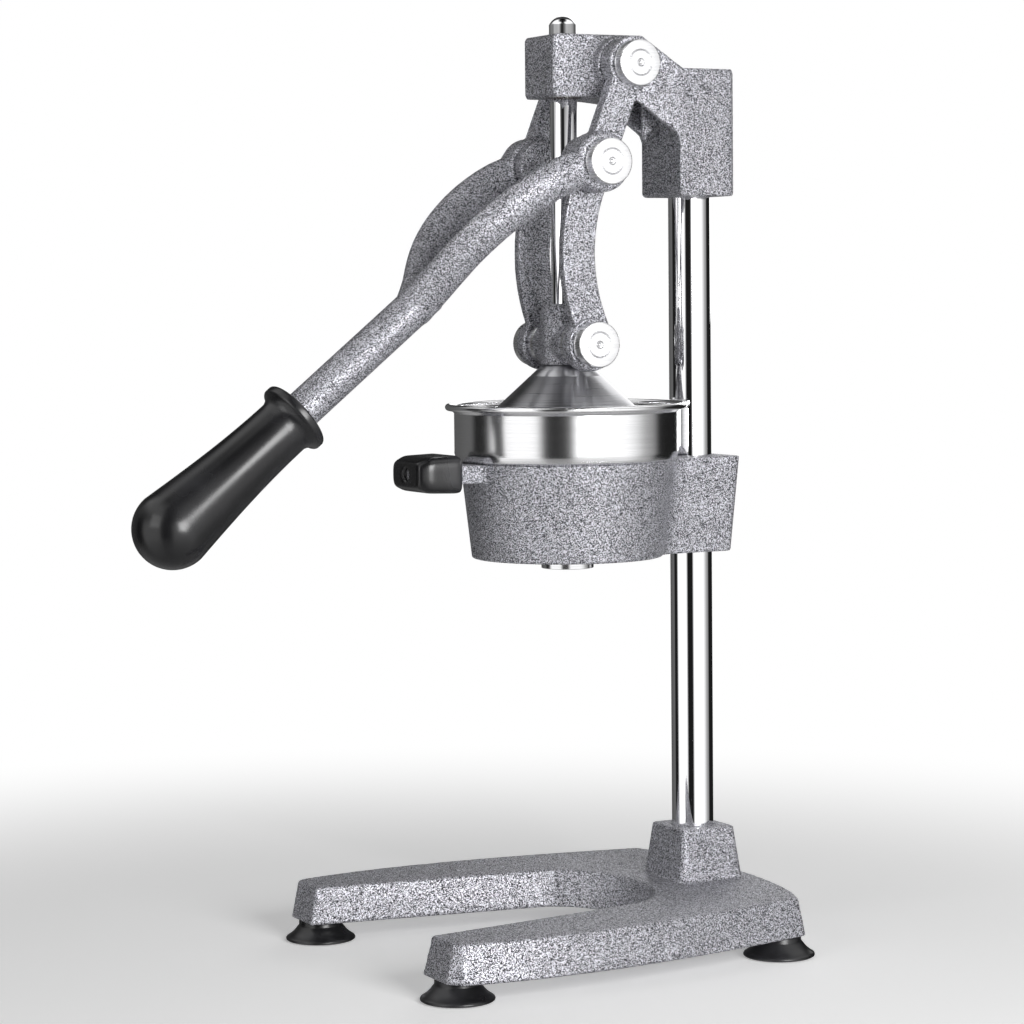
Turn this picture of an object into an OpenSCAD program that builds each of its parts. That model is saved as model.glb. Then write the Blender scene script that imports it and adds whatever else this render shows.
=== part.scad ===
// Lever citrus juice press: a U base with a chrome column, a cast head that guides
// the press rod, a forked lever with two side links, and a cup on a cast bracket.
// Millimetres, Z up, the open end of the base and the lever at -Y. The feet stand on
// z = 0 and the origin is the middle of the press's length and width. Each module sets
// its piece out from the column's axis, and in_frame() then moves it to column_y.

/* [Base] */
// Width across the front ends of the legs, at the top face
base_front_w = 188; // [180:1:200]
// Width across the rear corners, at the top face
base_rear_w = 163; // [158:1:172]
// Widest width, from the outward bow of the sides
base_bow_w = 220; // [212:1:228]
// Gap between the legs at their front ends
leg_gap_front = 136; // [124:1:142]
// Gap between the legs where the round end of the U starts
leg_gap_rear = 103; // [92:1:110]
// Depth of the round end of the U
u_end_depth = 37; // [30:1:42]
// Distance from the column's axis to the front ends of the legs
base_front_reach = 187.5; // [180:0.5:200]
// Distance from the column's axis to the middle of the rear edge
base_rear_reach = 27; // [24:0.5:32]
// Thickness of the base casting
base_t = 19.4; // [16:0.2:24]
// Sideways growth of the base from its top face to its bottom face
base_draft = 4.2; // [2:0.2:6]

/* [Column socket] */
// Width of the socket at its foot
socket_w = 40; // [36:1:46]
// Depth of the socket at its foot
socket_d = 38; // [36:1:44]
// Height of the socket above the base
socket_h = 27; // [20:1:34]
// Inward lean of each socket face from foot to top
socket_draft = 3.2; // [1:0.2:4]

/* [Feet] */
// Height of a foot under the base
foot_h = 10.3; // [9:0.1:13]
// Radius of the suction rim
foot_rim_r = 18.2; // [15:0.1:20]
// Radius of the foot's neck
foot_neck_r = 11.3; // [9:0.1:12]
// Distance of the front feet inside the outer corners of the legs
foot_front_in = 14; // [11:0.5:17]
// Distance of the front feet behind the front ends of the legs
foot_front_back = 7.5; // [4:0.5:12]
// Distance of the rear feet inside the rear corners
foot_rear_in = 6.5; // [5:0.5:15]
// Distance of the rear feet in front of the rear corners
foot_rear_fore = 7.5; // [6:0.5:14]
// Diameter of a foot's screw
foot_screw_d = 5; // [4:0.5:6]

/* [Column] */
// Diameter of the column
column_d = 21.8; // [20:0.1:24]
// Depth of the column's top end below the clamp's top face
column_top_drop = 6; // [5:0.5:14]
// Thickness of casting left under the column's foot
socket_floor = 6; // [5:0.5:8]
// Diameter of the bolt that holds the column from below
column_bolt_d = 10; // [8:1:12]

/* [Head] */
// Height of the head's top face above the floor, which sets all that hangs from it
head_top = 466.8; // [440:0.2:500]
// Height of the head around the press rod
nose_h = 31.3; // [28:0.1:36]
// Step down from the head's top face to the column clamp's top face
clamp_drop = 15.8; // [12:0.2:18]
// Height of the column clamp
clamp_h = 65; // [58:0.5:72]
// Half width of the head at its nose
nose_half_w = 16.4; // [14:0.1:16.8]
// Half width of the head at the column clamp
clamp_half_w = 19.8; // [18:0.1:21]
// Distance from the column's axis to the nose's front face
nose_reach = 88.1; // [86:0.1:92]
// Depth of the column clamp in front of the column's axis
clamp_front = 16.8; // [16:0.1:18]
// Depth of the column clamp behind the column's axis
clamp_rear = 16.8; // [15:0.1:20]
// Radius of the pivot bosses on the head's sides
head_boss_r = 14.2; // [12:0.1:15]
// Outer face of the head's pivot bosses, from the middle plane
head_boss_x = 26.9; // [24:0.1:30]

/* [Press rod and ram] */
// Distance from the column's axis to the press rod's axis
ram_y = 74; // [70:0.5:78]
// Diameter of the press rod
rod_d = 14; // [12:0.2:15]
// Stand of the press rod's domed top above the head, with the lever down
rod_stand = 10; // [7:0.2:16]
// Height of the ram block
ram_h = 31; // [26:0.5:34]
// Radius of the ram block's barrel
ram_r = 13; // [12:0.1:13.5]
// Height of the lower pivot above the ram block's foot
lower_pivot_h = 10.4; // [9:0.1:13]
// Half width across the ram block's pivot faces
ram_half_w = 14; // [13.2:0.1:15]

/* [Press cone] */
// Radius of the cone's flat top
cone_top_r = 12; // [11:0.1:14]
// Radius of the cone's rim
cone_rim_r = 48; // [44:0.5:50]
// Height of the cone from flat top to rim
cone_h = 33; // [30:0.5:38]
// Height of the straight lip below the cone
cone_lip_h = 2.5; // [1:0.5:4]
// Wall of the cone
cone_wall = 2; // [1.5:0.1:2.5]

/* [Linkage] */
// Distance from the column's axis to the top pivot
top_pivot_y = 54.5; // [53:0.5:56]
// Depth of the top pivot below the head's top face
top_pivot_drop = 15.8; // [15:0.1:16.5]
// Drop from the top pivot to the middle pivots, with the lever down
crank_drop = 49.2; // [46:0.1:52]
// Distance between the lower and the middle pivot, which is the link's length
link_l = 90.9; // [86:0.1:95]
// Radius of the link's round ends
link_eye_r = 13.6; // [12:0.1:14]
// Width of the link's bowed web
link_web_w = 18.4; // [14:0.2:20]
// Forward bow of the link's web at its middle
link_bow = 6.1; // [5:0.1:10]
// Thickness of the link's web
link_web_t = 5.2; // [4:0.1:6]
// Thickness of the link's round ends
link_eye_t = 7.9; // [7.2:0.1:8.4]
// Inner face of the links, from the middle plane
link_x = 20.7; // [19.5:0.1:22]
// Side gap between pieces that turn against each other
side_gap = 0.3; // [0.2:0.05:0.4]
// Radial gap of a pivot pin in the eye that turns on it
pin_gap = 0.05; // [0.03:0.01:0.1]

/* [Lever] */
// Radius of the lever's eyes at the top pivot
lever_eye_r = 13.4; // [12:0.1:14]
// Thickness of the lever's eyes at the top pivot
lever_eye_t = 10.6; // [9:0.1:12]
// Width of the short arms between the top and the middle pivots
short_arm_w = 16; // [13:0.5:18]
// Radius of the lever's bosses at the middle pivots
mid_boss_r = 15; // [13:0.1:15.5]
// Thickness of the lever's bosses at the middle pivots
mid_boss_t = 14; // [12:0.1:16]
// Height of a fork arm's section
fork_h = 19.6; // [17:0.2:22]
// Width of a fork arm's section
fork_w = 12.7; // [10:0.1:14]
// Diameter of the lever's stem
stem_d = 19.2; // [17:0.1:21]
// Slope of the stem below level, with the lever down
stem_slope = 38.8; // [36:0.2:42]
// Distance along the stem from the fork's root to the grip's collar
grip_start = 83; // [78:0.5:90]
// Length of the grip
grip_l = 104.5; // [90:0.5:120]
// Radius of the grip's collar
grip_collar_r = 18.8; // [17:0.1:20]
// Radius of the grip's round end
grip_end_r = 19.8; // [18:0.1:21]
// Radius of the grip's waist
grip_waist_r = 14.6; // [13:0.1:16]

/* [Pivot pins] */
// Radius of a pin's round head
pin_head_r = 11.6; // [10:0.1:12]
// Thickness of a pin's head
pin_head_t = 7.1; // [5:0.1:8]
// Diameter of a pin's shank
pin_d = 12; // [10:0.5:13]

/* [Bracket] */
// Depth of the bracket's top face below the ram block's foot, with the lever down
bracket_drop = 49; // [46:0.5:54]
// Height of the bracket casting
bracket_h = 49.5; // [42:0.5:54]
// Outer radius of the bowl at its top
bowl_top_r = 54.6; // [52:0.1:55]
// Outer radius of the bowl at its foot
bowl_foot_r = 49; // [47:0.1:51]
// Wall of the bowl
bowl_wall = 4.5; // [3.5:0.1:5]
// Floor of the bowl
bowl_floor = 5; // [4:0.1:7]
// Half width of the column sleeve
sleeve_half_w = 20.5; // [19:0.1:23]
// Reach of the sleeve behind the column's axis, at its top
sleeve_rear = 19; // [16:0.5:22]
// Forward lean of the sleeve's rear face over its height
sleeve_draft = 5; // [1:0.5:5]
// Half width of the front stub
stub_half_w = 12; // [9:0.5:14]
// Height of the front stub
stub_h = 9.4; // [8:0.2:12]
// Length of the front stub from the bowl's top edge
stub_l = 29; // [24:0.5:32]

/* [Stub cap] */
// Width of the cap at its open end
cap_w = 36; // [30:0.5:40]
// Height of the cap at its open end
cap_h = 19.2; // [16:0.2:22]
// Length of the cap
cap_l = 24; // [20:0.5:30]
// Width of the cap's front face
cap_front_w = 30; // [24:0.5:34]
// Height of the cap's front face
cap_front_h = 12.8; // [11:0.2:15]
// Height of the cap's middle below the bracket's top face
cap_drop = 4.2; // [3:0.1:6]

/* [Cup and strainer] */
// Outer radius of the cup's wall
cup_r = 57.4; // [56.5:0.1:59]
// Height of the cup from its ledge to its rim
cup_h = 29.5; // [20:0.5:34]
// Wall of the cup
cup_wall = 1.2; // [1:0.1:1.6]
// Radius of the rolled rim's bead
rim_bead_r = 1.7; // [1.3:0.1:2]
// Distance of the bead's middle outside the cup's wall
rim_flare = 2.9; // [2:0.1:4]
// Depth of the strainer basket below the cup's ledge
basket_depth = 8; // [6:0.5:11]
// Number of holes in each ring of the strainer
strainer_holes = 24; // [12:1:30]
// Radius of the reamer's foot
reamer_r = 30; // [26:0.5:34]
// Height of the reamer
reamer_h = 40; // [34:0.5:44]

/* [Drain] */
// Outer radius of the drain spout
spout_r = 13.4; // [11:0.1:15]
// Length of the spout below the bracket
spout_drop = 5.7; // [3:0.1:9]
// Wall of the drain funnel
funnel_wall = 1.2; // [1:0.1:2]

/* [Hidden] */
$fn = 64;
cast_colour = "#8f8e98";
chrome_colour = "#d9dade";
steel_colour = "#c4c6cb";
pin_colour = "#e6e6e8";
rubber_colour = "#1c1c1e";
plastic_colour = "#161618";
bush_colour = "#b08d57";
cone_colour = "#6d6e73";
// Length by which a cut runs past the face that it opens
eps = 0.5;
// Overlap that joins two forms of one piece
touch = 0.01;
// Steps along the bowed sides, the rear edge and the round end of the base
side_steps = 10;
rear_steps = 5;
u_steps = 16;
// Heights that follow from the stack
base_z = foot_h;
clamp_top = head_top - clamp_drop;
head_bottom = clamp_top - clamp_h;
nose_bottom = head_top - nose_h;
column_top = clamp_top - column_top_drop;
rod_top = head_top + rod_stand;
top_pivot_z = head_top - top_pivot_drop;
mid_pivot_z = top_pivot_z - crank_drop;
lower_pivot_z = mid_pivot_z - link_l;
ram_foot = lower_pivot_z - lower_pivot_h;
bracket_top = ram_foot - bracket_drop;
base_top = foot_h + base_t;
socket_top = base_top + socket_h;
column_z = base_z + socket_floor;
bracket_z = bracket_top - bracket_h;
// Place of the rear corners and of the points that pull the bowed edges outwards
rear_corner_y = 13;
bow_pull_y = -112;
foot_front_x = base_front_w / 2 - foot_front_in;
foot_front_y = base_front_reach - foot_front_back;
foot_rear_x = base_rear_w / 2 - foot_rear_in;
foot_rear_y = rear_corner_y - foot_rear_fore;
rear_pull_x = 48;
rear_corner_cut = 2;
u_end_y = -ram_y + 2.5;
gap_slope = base_draft / base_t;
leg_corner_r = 3;
gap_past_front = 20;
socket_corner_r = 3;
// Foot details
foot_rim_t = 1.2;
foot_skirt_h = 7.4;
foot_web_t = 2.6;
foot_skin = 1.2;
foot_skirt_run = 2.2;
foot_skirt_bend = 2;
foot_hollow_run = 6;
foot_hollow_fall = 1;
foot_screw_tip_gap = 1;
foot_screw_head_r = 4.6;
foot_screw_head_h = 2;
foot_screw_grip = 12;
// Column bolt and its recess
column_gap = 0.1;
bolt_hex_r = 8.5;
bolt_head_h = 2.6;
washer_r = 9.6;
washer_t = 1.4;
bolt_grip = 22;
recess_r = 10.4;
recess_h = bolt_head_h + 0.6;
bolt_tip_gap = 2;
// Head details
clamp_corner_r = 3;
nose_corner_r = 1.5;
slope_top_y = -38;
slope_foot_y = -15;
arch_nose_y = -62;
arch_start_y = -40;
arch_start_z = nose_bottom - 2;
arch_end_z = clamp_top - 35;
pocket_half_w = 15.2;
pocket_front_y = -44;
pocket_roof_z = clamp_top - 11;
rib_half_t = 1.2;
rib_front_y = -28;
rib_foot_z = clamp_top - 35;
rib_heel_z = clamp_top - 26.5;
rib_lap = 1;
nose_swell = 0.6;
boss_root = 4;
boss_flare_r = 4.5;
boss_flare_l = 4.6;
boss_flare_trim = 0.8;
bush_r = 9.6;
bush_l = 10;
bush_set_in = 1.5;
bush_gap = 0.05;
rod_bore_r = 8.2;
screw_d = 8;
hex_key_r = 2.3;
hex_key_depth = 4;
screw_stand = 1.5;
head_screw_z = [head_bottom + 14, clamp_top - 17];
// Press rod and ram
rod_r = rod_d / 2;
dome_r = 1.1 * rod_r;
dome_h = dome_r - sqrt(dome_r * dome_r - rod_r * rod_r);
ram_shoulder_r = 11.8;
ram_shoulder_h = 6;
ram_floor = 2.5;
ram_pivot_r = 12;
stud_d = 8;
stud_gap = 0.1;
nut_r = 7.5;
nut_h = 6.5;
stud_tip = 0.8;
ram_screw_d = 6;
ram_screw_stand = 0.4;
ram_pin_x = rod_r + 1.5;
ram_screw_z = ram_foot + 24;
// Linkage
link_outer_x = link_x + link_eye_t;
pin_seat_x = link_outer_x + side_gap;
web_outer_x = link_outer_x - 2.2;
eye_edge = 0.4;
blind_wall = 2;
web_set_back = 5.5;
bow_rise = link_bow + web_set_back;
bow_r = (link_l * link_l / 4 + bow_rise * bow_rise) / (2 * bow_rise);
bow_y = -ram_y - link_bow + bow_r;
link_mid_z = (lower_pivot_z + mid_pivot_z) / 2;
pin_r = pin_d / 2;
pin_seat_depth = 5;
groove_r = 6.4;
groove_w = 0.7;
groove_depth = 0.5;
dimple_r = 2;
dimple_depth = 1.2;
pin_chamfer = 0.6;
spacer_r = 11.5;
// Lever
lever_eye_x = head_boss_x + side_gap;
mid_boss_x = link_outer_x + side_gap;
boss_bevel = 1.6;
crank_y = ram_y - top_pivot_y;
crank_l = norm([crank_y, crank_drop]);
crank_lean = atan2(crank_y, crank_drop);
fork_x = mid_boss_x + mid_boss_t / 2;
arm_set_back = 0.5;
arm_from_bore = 9;
fork_run = 85.3;
fork_fall = 70.8;
stem_root = [0, -ram_y - fork_run, mid_pivot_z - fork_fall];
stem_dir = [0, -cos(stem_slope), -sin(stem_slope)];
stem_overlap = 10;
fork_tip_r = stem_d / 2 + 0.5;
fork_widen_at = 0.6;
stem_tip_gap = 20;
stem_in_grip = grip_l - stem_tip_gap;
collar_edge = 1;
collar_t = 4;
collar_fall = 1.5;
collar_fall_run = 2;
body_start = 10;
grip_mid_l = grip_l - grip_end_r;
// Place of the column's axis: the origin halves the length from the grip to the base
grip_end_y = stem_root[1] - (grip_start + grip_mid_l) * cos(stem_slope) - grip_end_r;
column_y = -(grip_end_y + base_rear_reach + base_draft) / 2;
fork_steps = 20;
fork_sides = 16;
// Shares of the way inwards, forwards and down from the middle pivot to the stem's root
fork_shares = [[0, 0, 0], [0, 0.228, 0.093], [0.062, 0.439, 0.235], [0.188, 0.621, 0.405],
    [0.367, 0.761, 0.577], [0.583, 0.853, 0.731], [0.806, 0.921, 0.864], [1, 1, 1]];
// Middle line of the right fork arm
fork_path = [for (s = fork_shares)
    [fork_x * (1 - s[0]), -ram_y - fork_run * s[1], mid_pivot_z - fork_fall * s[2]]];
// Bracket
sleeve_front_y = -40;
sleeve_corner_r = 4;
sleeve_taper = 1;
neck_r = 14;
neck_trim = 0.3;
neck_lap = 4;
neck_sides = 64;
stub_root = 3.5;
stub_front_y = -ram_y - bowl_top_r - stub_l;
stub_hole_l = 12;
bowl_slope = (bowl_top_r - bowl_foot_r) / bracket_h;
sleeve_bore_r = column_d / 2 + column_gap;
spout_gap = 0.1;
bracket_screw_z = bracket_top - 25;
// Cap
cap_z = bracket_top - cap_drop;
cap_gap = 13.4;
cap_back_y = -ram_y - bowl_top_r - cap_gap;
cap_front_y = cap_back_y - cap_l;
cap_taper = 0.6;
cap_wall = 3;
cap_body_l = cap_l - 6;
cap_corner_r = 4;
cap_front_corner_r = 3.5;
cap_fit = 0.1;
cap_screw_d = 4;
cap_hole_r = 3.2;
cap_hole_depth = 4;
cap_screw_head_r = 2.9;
cap_screw_head_h = 2;
cap_screw_key_r = 1.3;
cap_screw_tip_gap = 1;
// Cup, strainer and drain
cup_corner_r = 4;
basket_r = bowl_top_r - bowl_wall - 2.2;
basket_floor_z = bracket_top - basket_depth;
strainer_hole_r = 1.6;
rim_fold_h = 3;
rim_fold_t = 0.6;
strainer_rings = [35, 41];
reamer_top_r = 6;
reamer_ribs = 8;
reamer_rib_w = 4;
reamer_rib_rise = 1.6;
reamer_pin_r = 3;
reamer_pin_drop = 2;
reamer_rib_root = 8;
reamer_rib_stop = 1;
funnel_r = 42;
funnel_rise = 5;
funnel_flat = 12;

// ---- Shared forms --------------------------------------------------------------

// Moves what is set out from the column's axis to the column's place in the frame
module in_frame() {
    translate([0, column_y, 0])
        children();
}

// A point on a curve pulled from a to b by the control point c
function pulled(a, c, b, t) = (1 - t) * (1 - t) * a + 2 * t * (1 - t) * c + t * t * b;

// A rounded rectangle as a list of points, counter-clockwise, n steps to a corner
function rounded_rect(x0, y0, x1, y1, r, n = 5) = [
    for (corner = [[x1 - r, y1 - r, 0], [x0 + r, y1 - r, 90],
                   [x0 + r, y0 + r, 180], [x1 - r, y0 + r, 270]])
        for (i = [0 : n])
            [corner[0] + r * cos(corner[2] + 90 * i / n),
             corner[1] + r * sin(corner[2] + 90 * i / n)]];

// Each point of a counter-clockwise outline moved outwards by d
function grown(pts, d) = [
    for (i = [0 : len(pts) - 1])
        let (a = pts[(i + len(pts) - 1) % len(pts)], b = pts[(i + 1) % len(pts)],
             along = (b - a) / norm(b - a))
            pts[i] + d * [along[1], -along[0]]];

// A solid between two outlines of as many points: low at z0 and high at z1
module drafted(low, high, z0, z1) {
    n = len(low);
    polyhedron(
        points = concat([for (p = low) [p[0], p[1], z0]], [for (p = high) [p[0], p[1], z1]]),
        faces = concat(
            [[for (i = [0 : n - 1]) i]],
            [[for (i = [0 : n - 1]) 2 * n - 1 - i]],
            [for (i = [0 : n - 1]) [i, n + i, n + (i + 1) % n, (i + 1) % n]]));
}

// A cylinder along X from x0 to x1 with its axis at y, z
module cross_bar(r, x0, x1, y, z, r_end = -1) {
    translate([x0, y, z])
        rotate([0, 90, 0])
            cylinder(r1 = r, r2 = r_end < 0 ? r : r_end, h = x1 - x0);
}

// A cylinder along Y from y0 to y1 with its axis at x, z
module long_bar(r, y0, y1, x, z, sides = 64) {
    translate([x, y1, z])
        rotate([90, 0, 0])
            cylinder(r = r, h = y1 - y0, $fn = sides);
}

// A socket set screw along Y: its outer end at y_out, its tip at y_in
module set_screw(d, y_in, y_out, z) {
    difference() {
        long_bar(d / 2, y_in, y_out, 0, z);
        long_bar(hex_key_r, y_out - hex_key_depth, y_out + eps, 0, z, 6);
    }
}

// A pivot pin along +X: its shank from x_tip to x_seat, then its round grooved head
module pivot_pin(x_tip, x_seat, y, z) {
    face = x_seat + pin_head_t;
    cross_bar(pin_r, x_tip, x_seat + touch, y, z);
    difference() {
        union() {
            cross_bar(pin_head_r, x_seat, face - pin_chamfer, y, z);
            cross_bar(pin_head_r, face - pin_chamfer, face, y, z, pin_head_r - pin_chamfer);
        }
        difference() {
            cross_bar(groove_r + groove_w / 2, face - groove_depth, face + eps, y, z);
            cross_bar(groove_r - groove_w / 2, face - 2 * groove_depth, face + 2 * eps, y, z);
        }
        cross_bar(dimple_r, face - dimple_depth, face + eps, y, z);
    }
}

// ---- Stand ---------------------------------------------------------------------

// Outer outline of the base's top face, counter-clockwise from the right leg's front
function base_outline() =
    let (
        front = -base_front_reach,
        side = [for (i = [0 : side_steps])
            pulled([base_front_w / 2, front + leg_corner_r], [base_bow_w / 2, bow_pull_y],
                   [base_rear_w / 2, rear_corner_y], i / side_steps)],
        rear = [for (i = [1 : rear_steps])
            pulled([base_rear_w / 2 - leg_corner_r, rear_corner_y + rear_corner_cut],
                   [rear_pull_x, base_rear_reach], [0, base_rear_reach], i / rear_steps)])
    concat(
        [[base_front_w / 2 - leg_corner_r, front]],
        side, rear,
        [for (i = [rear_steps - 2 : -1 : 0]) [-rear[i][0], rear[i][1]]],
        [for (i = [side_steps : -1 : 0]) [-side[i][0], side[i][1]]],
        [[-base_front_w / 2 + leg_corner_r, front]]);

// Outline of the open U at the base's top face, run on past the front of the legs
function gap_outline() =
    let (
        widening = (leg_gap_front - leg_gap_rear) / (base_front_reach + u_end_y),
        front_half = (leg_gap_front + widening * gap_past_front) / 2)
    concat(
        [for (i = [0 : u_steps])
            [leg_gap_rear / 2 * cos(180 * i / u_steps),
             u_end_y + u_end_depth * sin(180 * i / u_steps)]],
        [[-front_half, -base_front_reach - gap_past_front],
         [front_half, -base_front_reach - gap_past_front]]);

module base_casting() {
    color(cast_colour)
        in_frame()
            difference() {
                union() {
                    drafted(grown(base_outline(), base_draft), base_outline(), base_z, base_top);
                    drafted(
                        rounded_rect(-socket_w / 2, -socket_d / 2, socket_w / 2, socket_d / 2,
                                     socket_corner_r),
                        rounded_rect(-socket_w / 2 + socket_draft, -socket_d / 2 + socket_draft,
                                     socket_w / 2 - socket_draft, socket_d / 2 - socket_draft,
                                     socket_corner_r),
                        base_top - touch, socket_top);
                }
                drafted(grown(gap_outline(), -base_draft - gap_slope * eps),
                        grown(gap_outline(), gap_slope * eps), base_z - eps, base_top + eps);
                translate([0, 0, column_z])
                    cylinder(d = column_d, h = socket_top);
                translate([0, 0, base_z - eps])
                    cylinder(d = column_bolt_d, h = socket_floor + 2 * eps);
                translate([0, 0, base_z - eps])
                    cylinder(r = recess_r, h = recess_h + washer_t + eps);
                for (p = foot_places())
                    translate([p[0], p[1], base_z - eps])
                        cylinder(d = foot_screw_d, h = foot_screw_grip + eps);
            }
}

// Places of the four feet: front right, front left, rear right, rear left
function foot_places() = [[foot_front_x, -foot_front_y], [-foot_front_x, -foot_front_y],
    [foot_rear_x, foot_rear_y], [-foot_rear_x, foot_rear_y]];

module suction_foot(place) {
    color(rubber_colour)
        in_frame()
            translate([place[0], place[1], 0])
                rotate_extrude()
                    polygon([
                        [foot_screw_d / 2, foot_web_t], [foot_rim_r / 3, foot_web_t],
                        [foot_rim_r - foot_hollow_run, foot_web_t - foot_hollow_fall],
                        [foot_rim_r - foot_skin, 0], [foot_rim_r, 0], [foot_rim_r, foot_rim_t],
                        [foot_neck_r + foot_skirt_run, foot_skirt_h - foot_skirt_bend],
                        [foot_neck_r, foot_skirt_h], [foot_neck_r, foot_h],
                        [foot_screw_d / 2, foot_h]]);
}

module foot_front_right() { suction_foot(foot_places()[0]); }

module foot_front_left() { suction_foot(foot_places()[1]); }

module foot_rear_right() { suction_foot(foot_places()[2]); }

module foot_rear_left() { suction_foot(foot_places()[3]); }

module foot_screws() {
    color(steel_colour)
        in_frame()
            for (p = foot_places())
                translate([p[0], p[1], 0]) {
                    translate([0, 0, foot_web_t - foot_screw_head_h])
                        cylinder(r = foot_screw_head_r, h = foot_screw_head_h);
                    translate([0, 0, foot_web_t - touch])
                        cylinder(d = foot_screw_d,
                                 h = foot_h + foot_screw_grip - foot_web_t - foot_screw_tip_gap);
                }
}

module column() {
    color(chrome_colour)
        in_frame()
            difference() {
                translate([0, 0, column_z])
                    cylinder(d = column_d, h = column_top - column_z);
                translate([0, 0, column_z - eps])
                    cylinder(d = column_bolt_d, h = bolt_grip);
            }
}

module column_washer() {
    color(steel_colour)
        in_frame()
            translate([0, 0, base_z + recess_h])
                difference() {
                    cylinder(r = washer_r, h = washer_t);
                    translate([0, 0, -eps])
                        cylinder(d = column_bolt_d, h = washer_t + 2 * eps);
                }
}

module column_bolt() {
    head_z = base_z + recess_h - bolt_head_h;
    color(steel_colour)
        in_frame() {
            translate([0, 0, head_z])
                cylinder(r = bolt_hex_r, h = bolt_head_h, $fn = 6);
            translate([0, 0, base_z + recess_h - touch])
                cylinder(d = column_bolt_d, h = column_z - base_z - recess_h + bolt_grip - bolt_tip_gap);
        }
}

// ---- Head ----------------------------------------------------------------------

// Side view of the head as [y, z] points
function head_profile() = [
    [-nose_reach, nose_bottom + 2], [-nose_reach + 2, nose_bottom],
    [arch_nose_y, nose_bottom], [arch_start_y, arch_start_z],
    [-clamp_front - 1.5, arch_end_z + 2], [-clamp_front, arch_end_z - 2],
    [-clamp_front, head_bottom + 1.5], [-clamp_front + 1.5, head_bottom],
    [clamp_rear - 1.5, head_bottom], [clamp_rear, head_bottom + 1.5],
    [clamp_rear, clamp_top - 2], [clamp_rear - 2, clamp_top],
    [slope_foot_y, clamp_top], [slope_top_y, head_top],
    [-nose_reach + 2, head_top], [-nose_reach, head_top - 2]];

// Plan view of the head, as wide at the clamp as it is there and narrower at the nose
function head_plan() = [
    [-nose_half_w, -nose_reach + nose_corner_r], [-nose_half_w + nose_corner_r, -nose_reach],
    [nose_half_w - nose_corner_r, -nose_reach], [nose_half_w, -nose_reach + nose_corner_r],
    [nose_half_w + nose_swell, -top_pivot_y], [clamp_half_w, -clamp_front],
    [clamp_half_w, clamp_rear - clamp_corner_r], [clamp_half_w - clamp_corner_r, clamp_rear],
    [-clamp_half_w + clamp_corner_r, clamp_rear], [-clamp_half_w, clamp_rear - clamp_corner_r],
    [-clamp_half_w, -clamp_front], [-nose_half_w - nose_swell, -top_pivot_y]];

module head_blank() {
    intersection() {
        translate([0, 0, head_bottom - eps])
            linear_extrude(height = head_top - head_bottom + 2 * eps)
                polygon(head_plan());
        translate([-clamp_half_w - eps, 0, 0])
            rotate([90, 0, 90])
                linear_extrude(height = 2 * (clamp_half_w + eps))
                    polygon(head_profile());
    }
}

// The hollow under the head, on both sides of its rib
module head_pocket() {
    difference() {
        translate([-pocket_half_w, pocket_front_y, head_bottom])
            cube([2 * pocket_half_w, -clamp_front - pocket_front_y, pocket_roof_z - head_bottom]);
        head_rib();
    }
}

// The rib under the head, from the hollow's roof down past the arch
module head_rib() {
    translate([-rib_half_t, 0, 0])
        rotate([90, 0, 90])
            linear_extrude(height = 2 * rib_half_t)
                polygon([[rib_front_y, rib_foot_z], [-clamp_front + rib_lap, rib_heel_z],
                         [-clamp_front + rib_lap, pocket_roof_z + rib_lap],
                         [rib_front_y, pocket_roof_z + rib_lap]]);
}

module head_casting() {
    color(cast_colour)
        in_frame()
            difference() {
                union() {
                    head_blank();
                    head_rib();
                    for (side = [0, 1])
                        mirror([side, 0, 0]) {
                            cross_bar(head_boss_r, nose_half_w - boss_root, head_boss_x,
                                      -top_pivot_y, top_pivot_z);
                            intersection() {
                                cross_bar(head_boss_r + boss_flare_r, nose_half_w,
                                          nose_half_w + boss_flare_l, -top_pivot_y,
                                          top_pivot_z, head_boss_r);
                                translate([0, -nose_reach, nose_bottom + boss_flare_trim])
                                    cube([head_boss_x, nose_reach,
                                          head_top - nose_bottom - 2 * boss_flare_trim]);
                            }
                        }
                }
                head_pocket();
                translate([0, 0, head_bottom - eps])
                    cylinder(d = column_d, h = column_top - head_bottom + eps);
                translate([0, -ram_y, nose_bottom - eps])
                    cylinder(r = rod_bore_r, h = head_top - nose_bottom + 2 * eps);
                for (z = [nose_bottom - eps, head_top - bush_l - bush_set_in])
                    translate([0, -ram_y, z])
                        cylinder(r = bush_r, h = bush_l + bush_set_in + eps);
                for (side = [0, 1])
                    mirror([side, 0, 0])
                        cross_bar(pin_r, pin_seat_depth, head_boss_x + eps,
                                  -top_pivot_y, top_pivot_z);
                for (z = head_screw_z)
                    long_bar(screw_d / 2, 0, clamp_rear + eps, 0, z);
            }
}

module head_set_screws() {
    color(steel_colour)
        in_frame()
            for (z = head_screw_z)
                set_screw(screw_d, column_d / 2, clamp_rear + screw_stand, z);
}

module rod_bush(z) {
    color(bush_colour)
        in_frame()
            translate([0, -ram_y, z])
                difference() {
                    cylinder(r = bush_r, h = bush_l);
                    translate([0, 0, -eps])
                        cylinder(r = rod_r + bush_gap, h = bush_l + 2 * eps);
                }
}

module rod_bush_upper() { rod_bush(head_top - bush_l - bush_set_in); }

module rod_bush_lower() { rod_bush(nose_bottom + bush_set_in); }

module top_pin_right() {
    color(pin_colour)
        in_frame()
            pivot_pin(pin_seat_depth, lever_eye_x + lever_eye_t + side_gap, -top_pivot_y, top_pivot_z);
}

module top_pin_left() {
    mirror([1, 0, 0])
        top_pin_right();
}

// ---- Bracket -------------------------------------------------------------------

// Centre of the round between the bowl and the sleeve, at a level where they measure r and w
function neck_centre(r, w) =
    [w + neck_r, -ram_y + sqrt(pow(r + neck_r, 2) - pow(w + neck_r, 2))];

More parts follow.
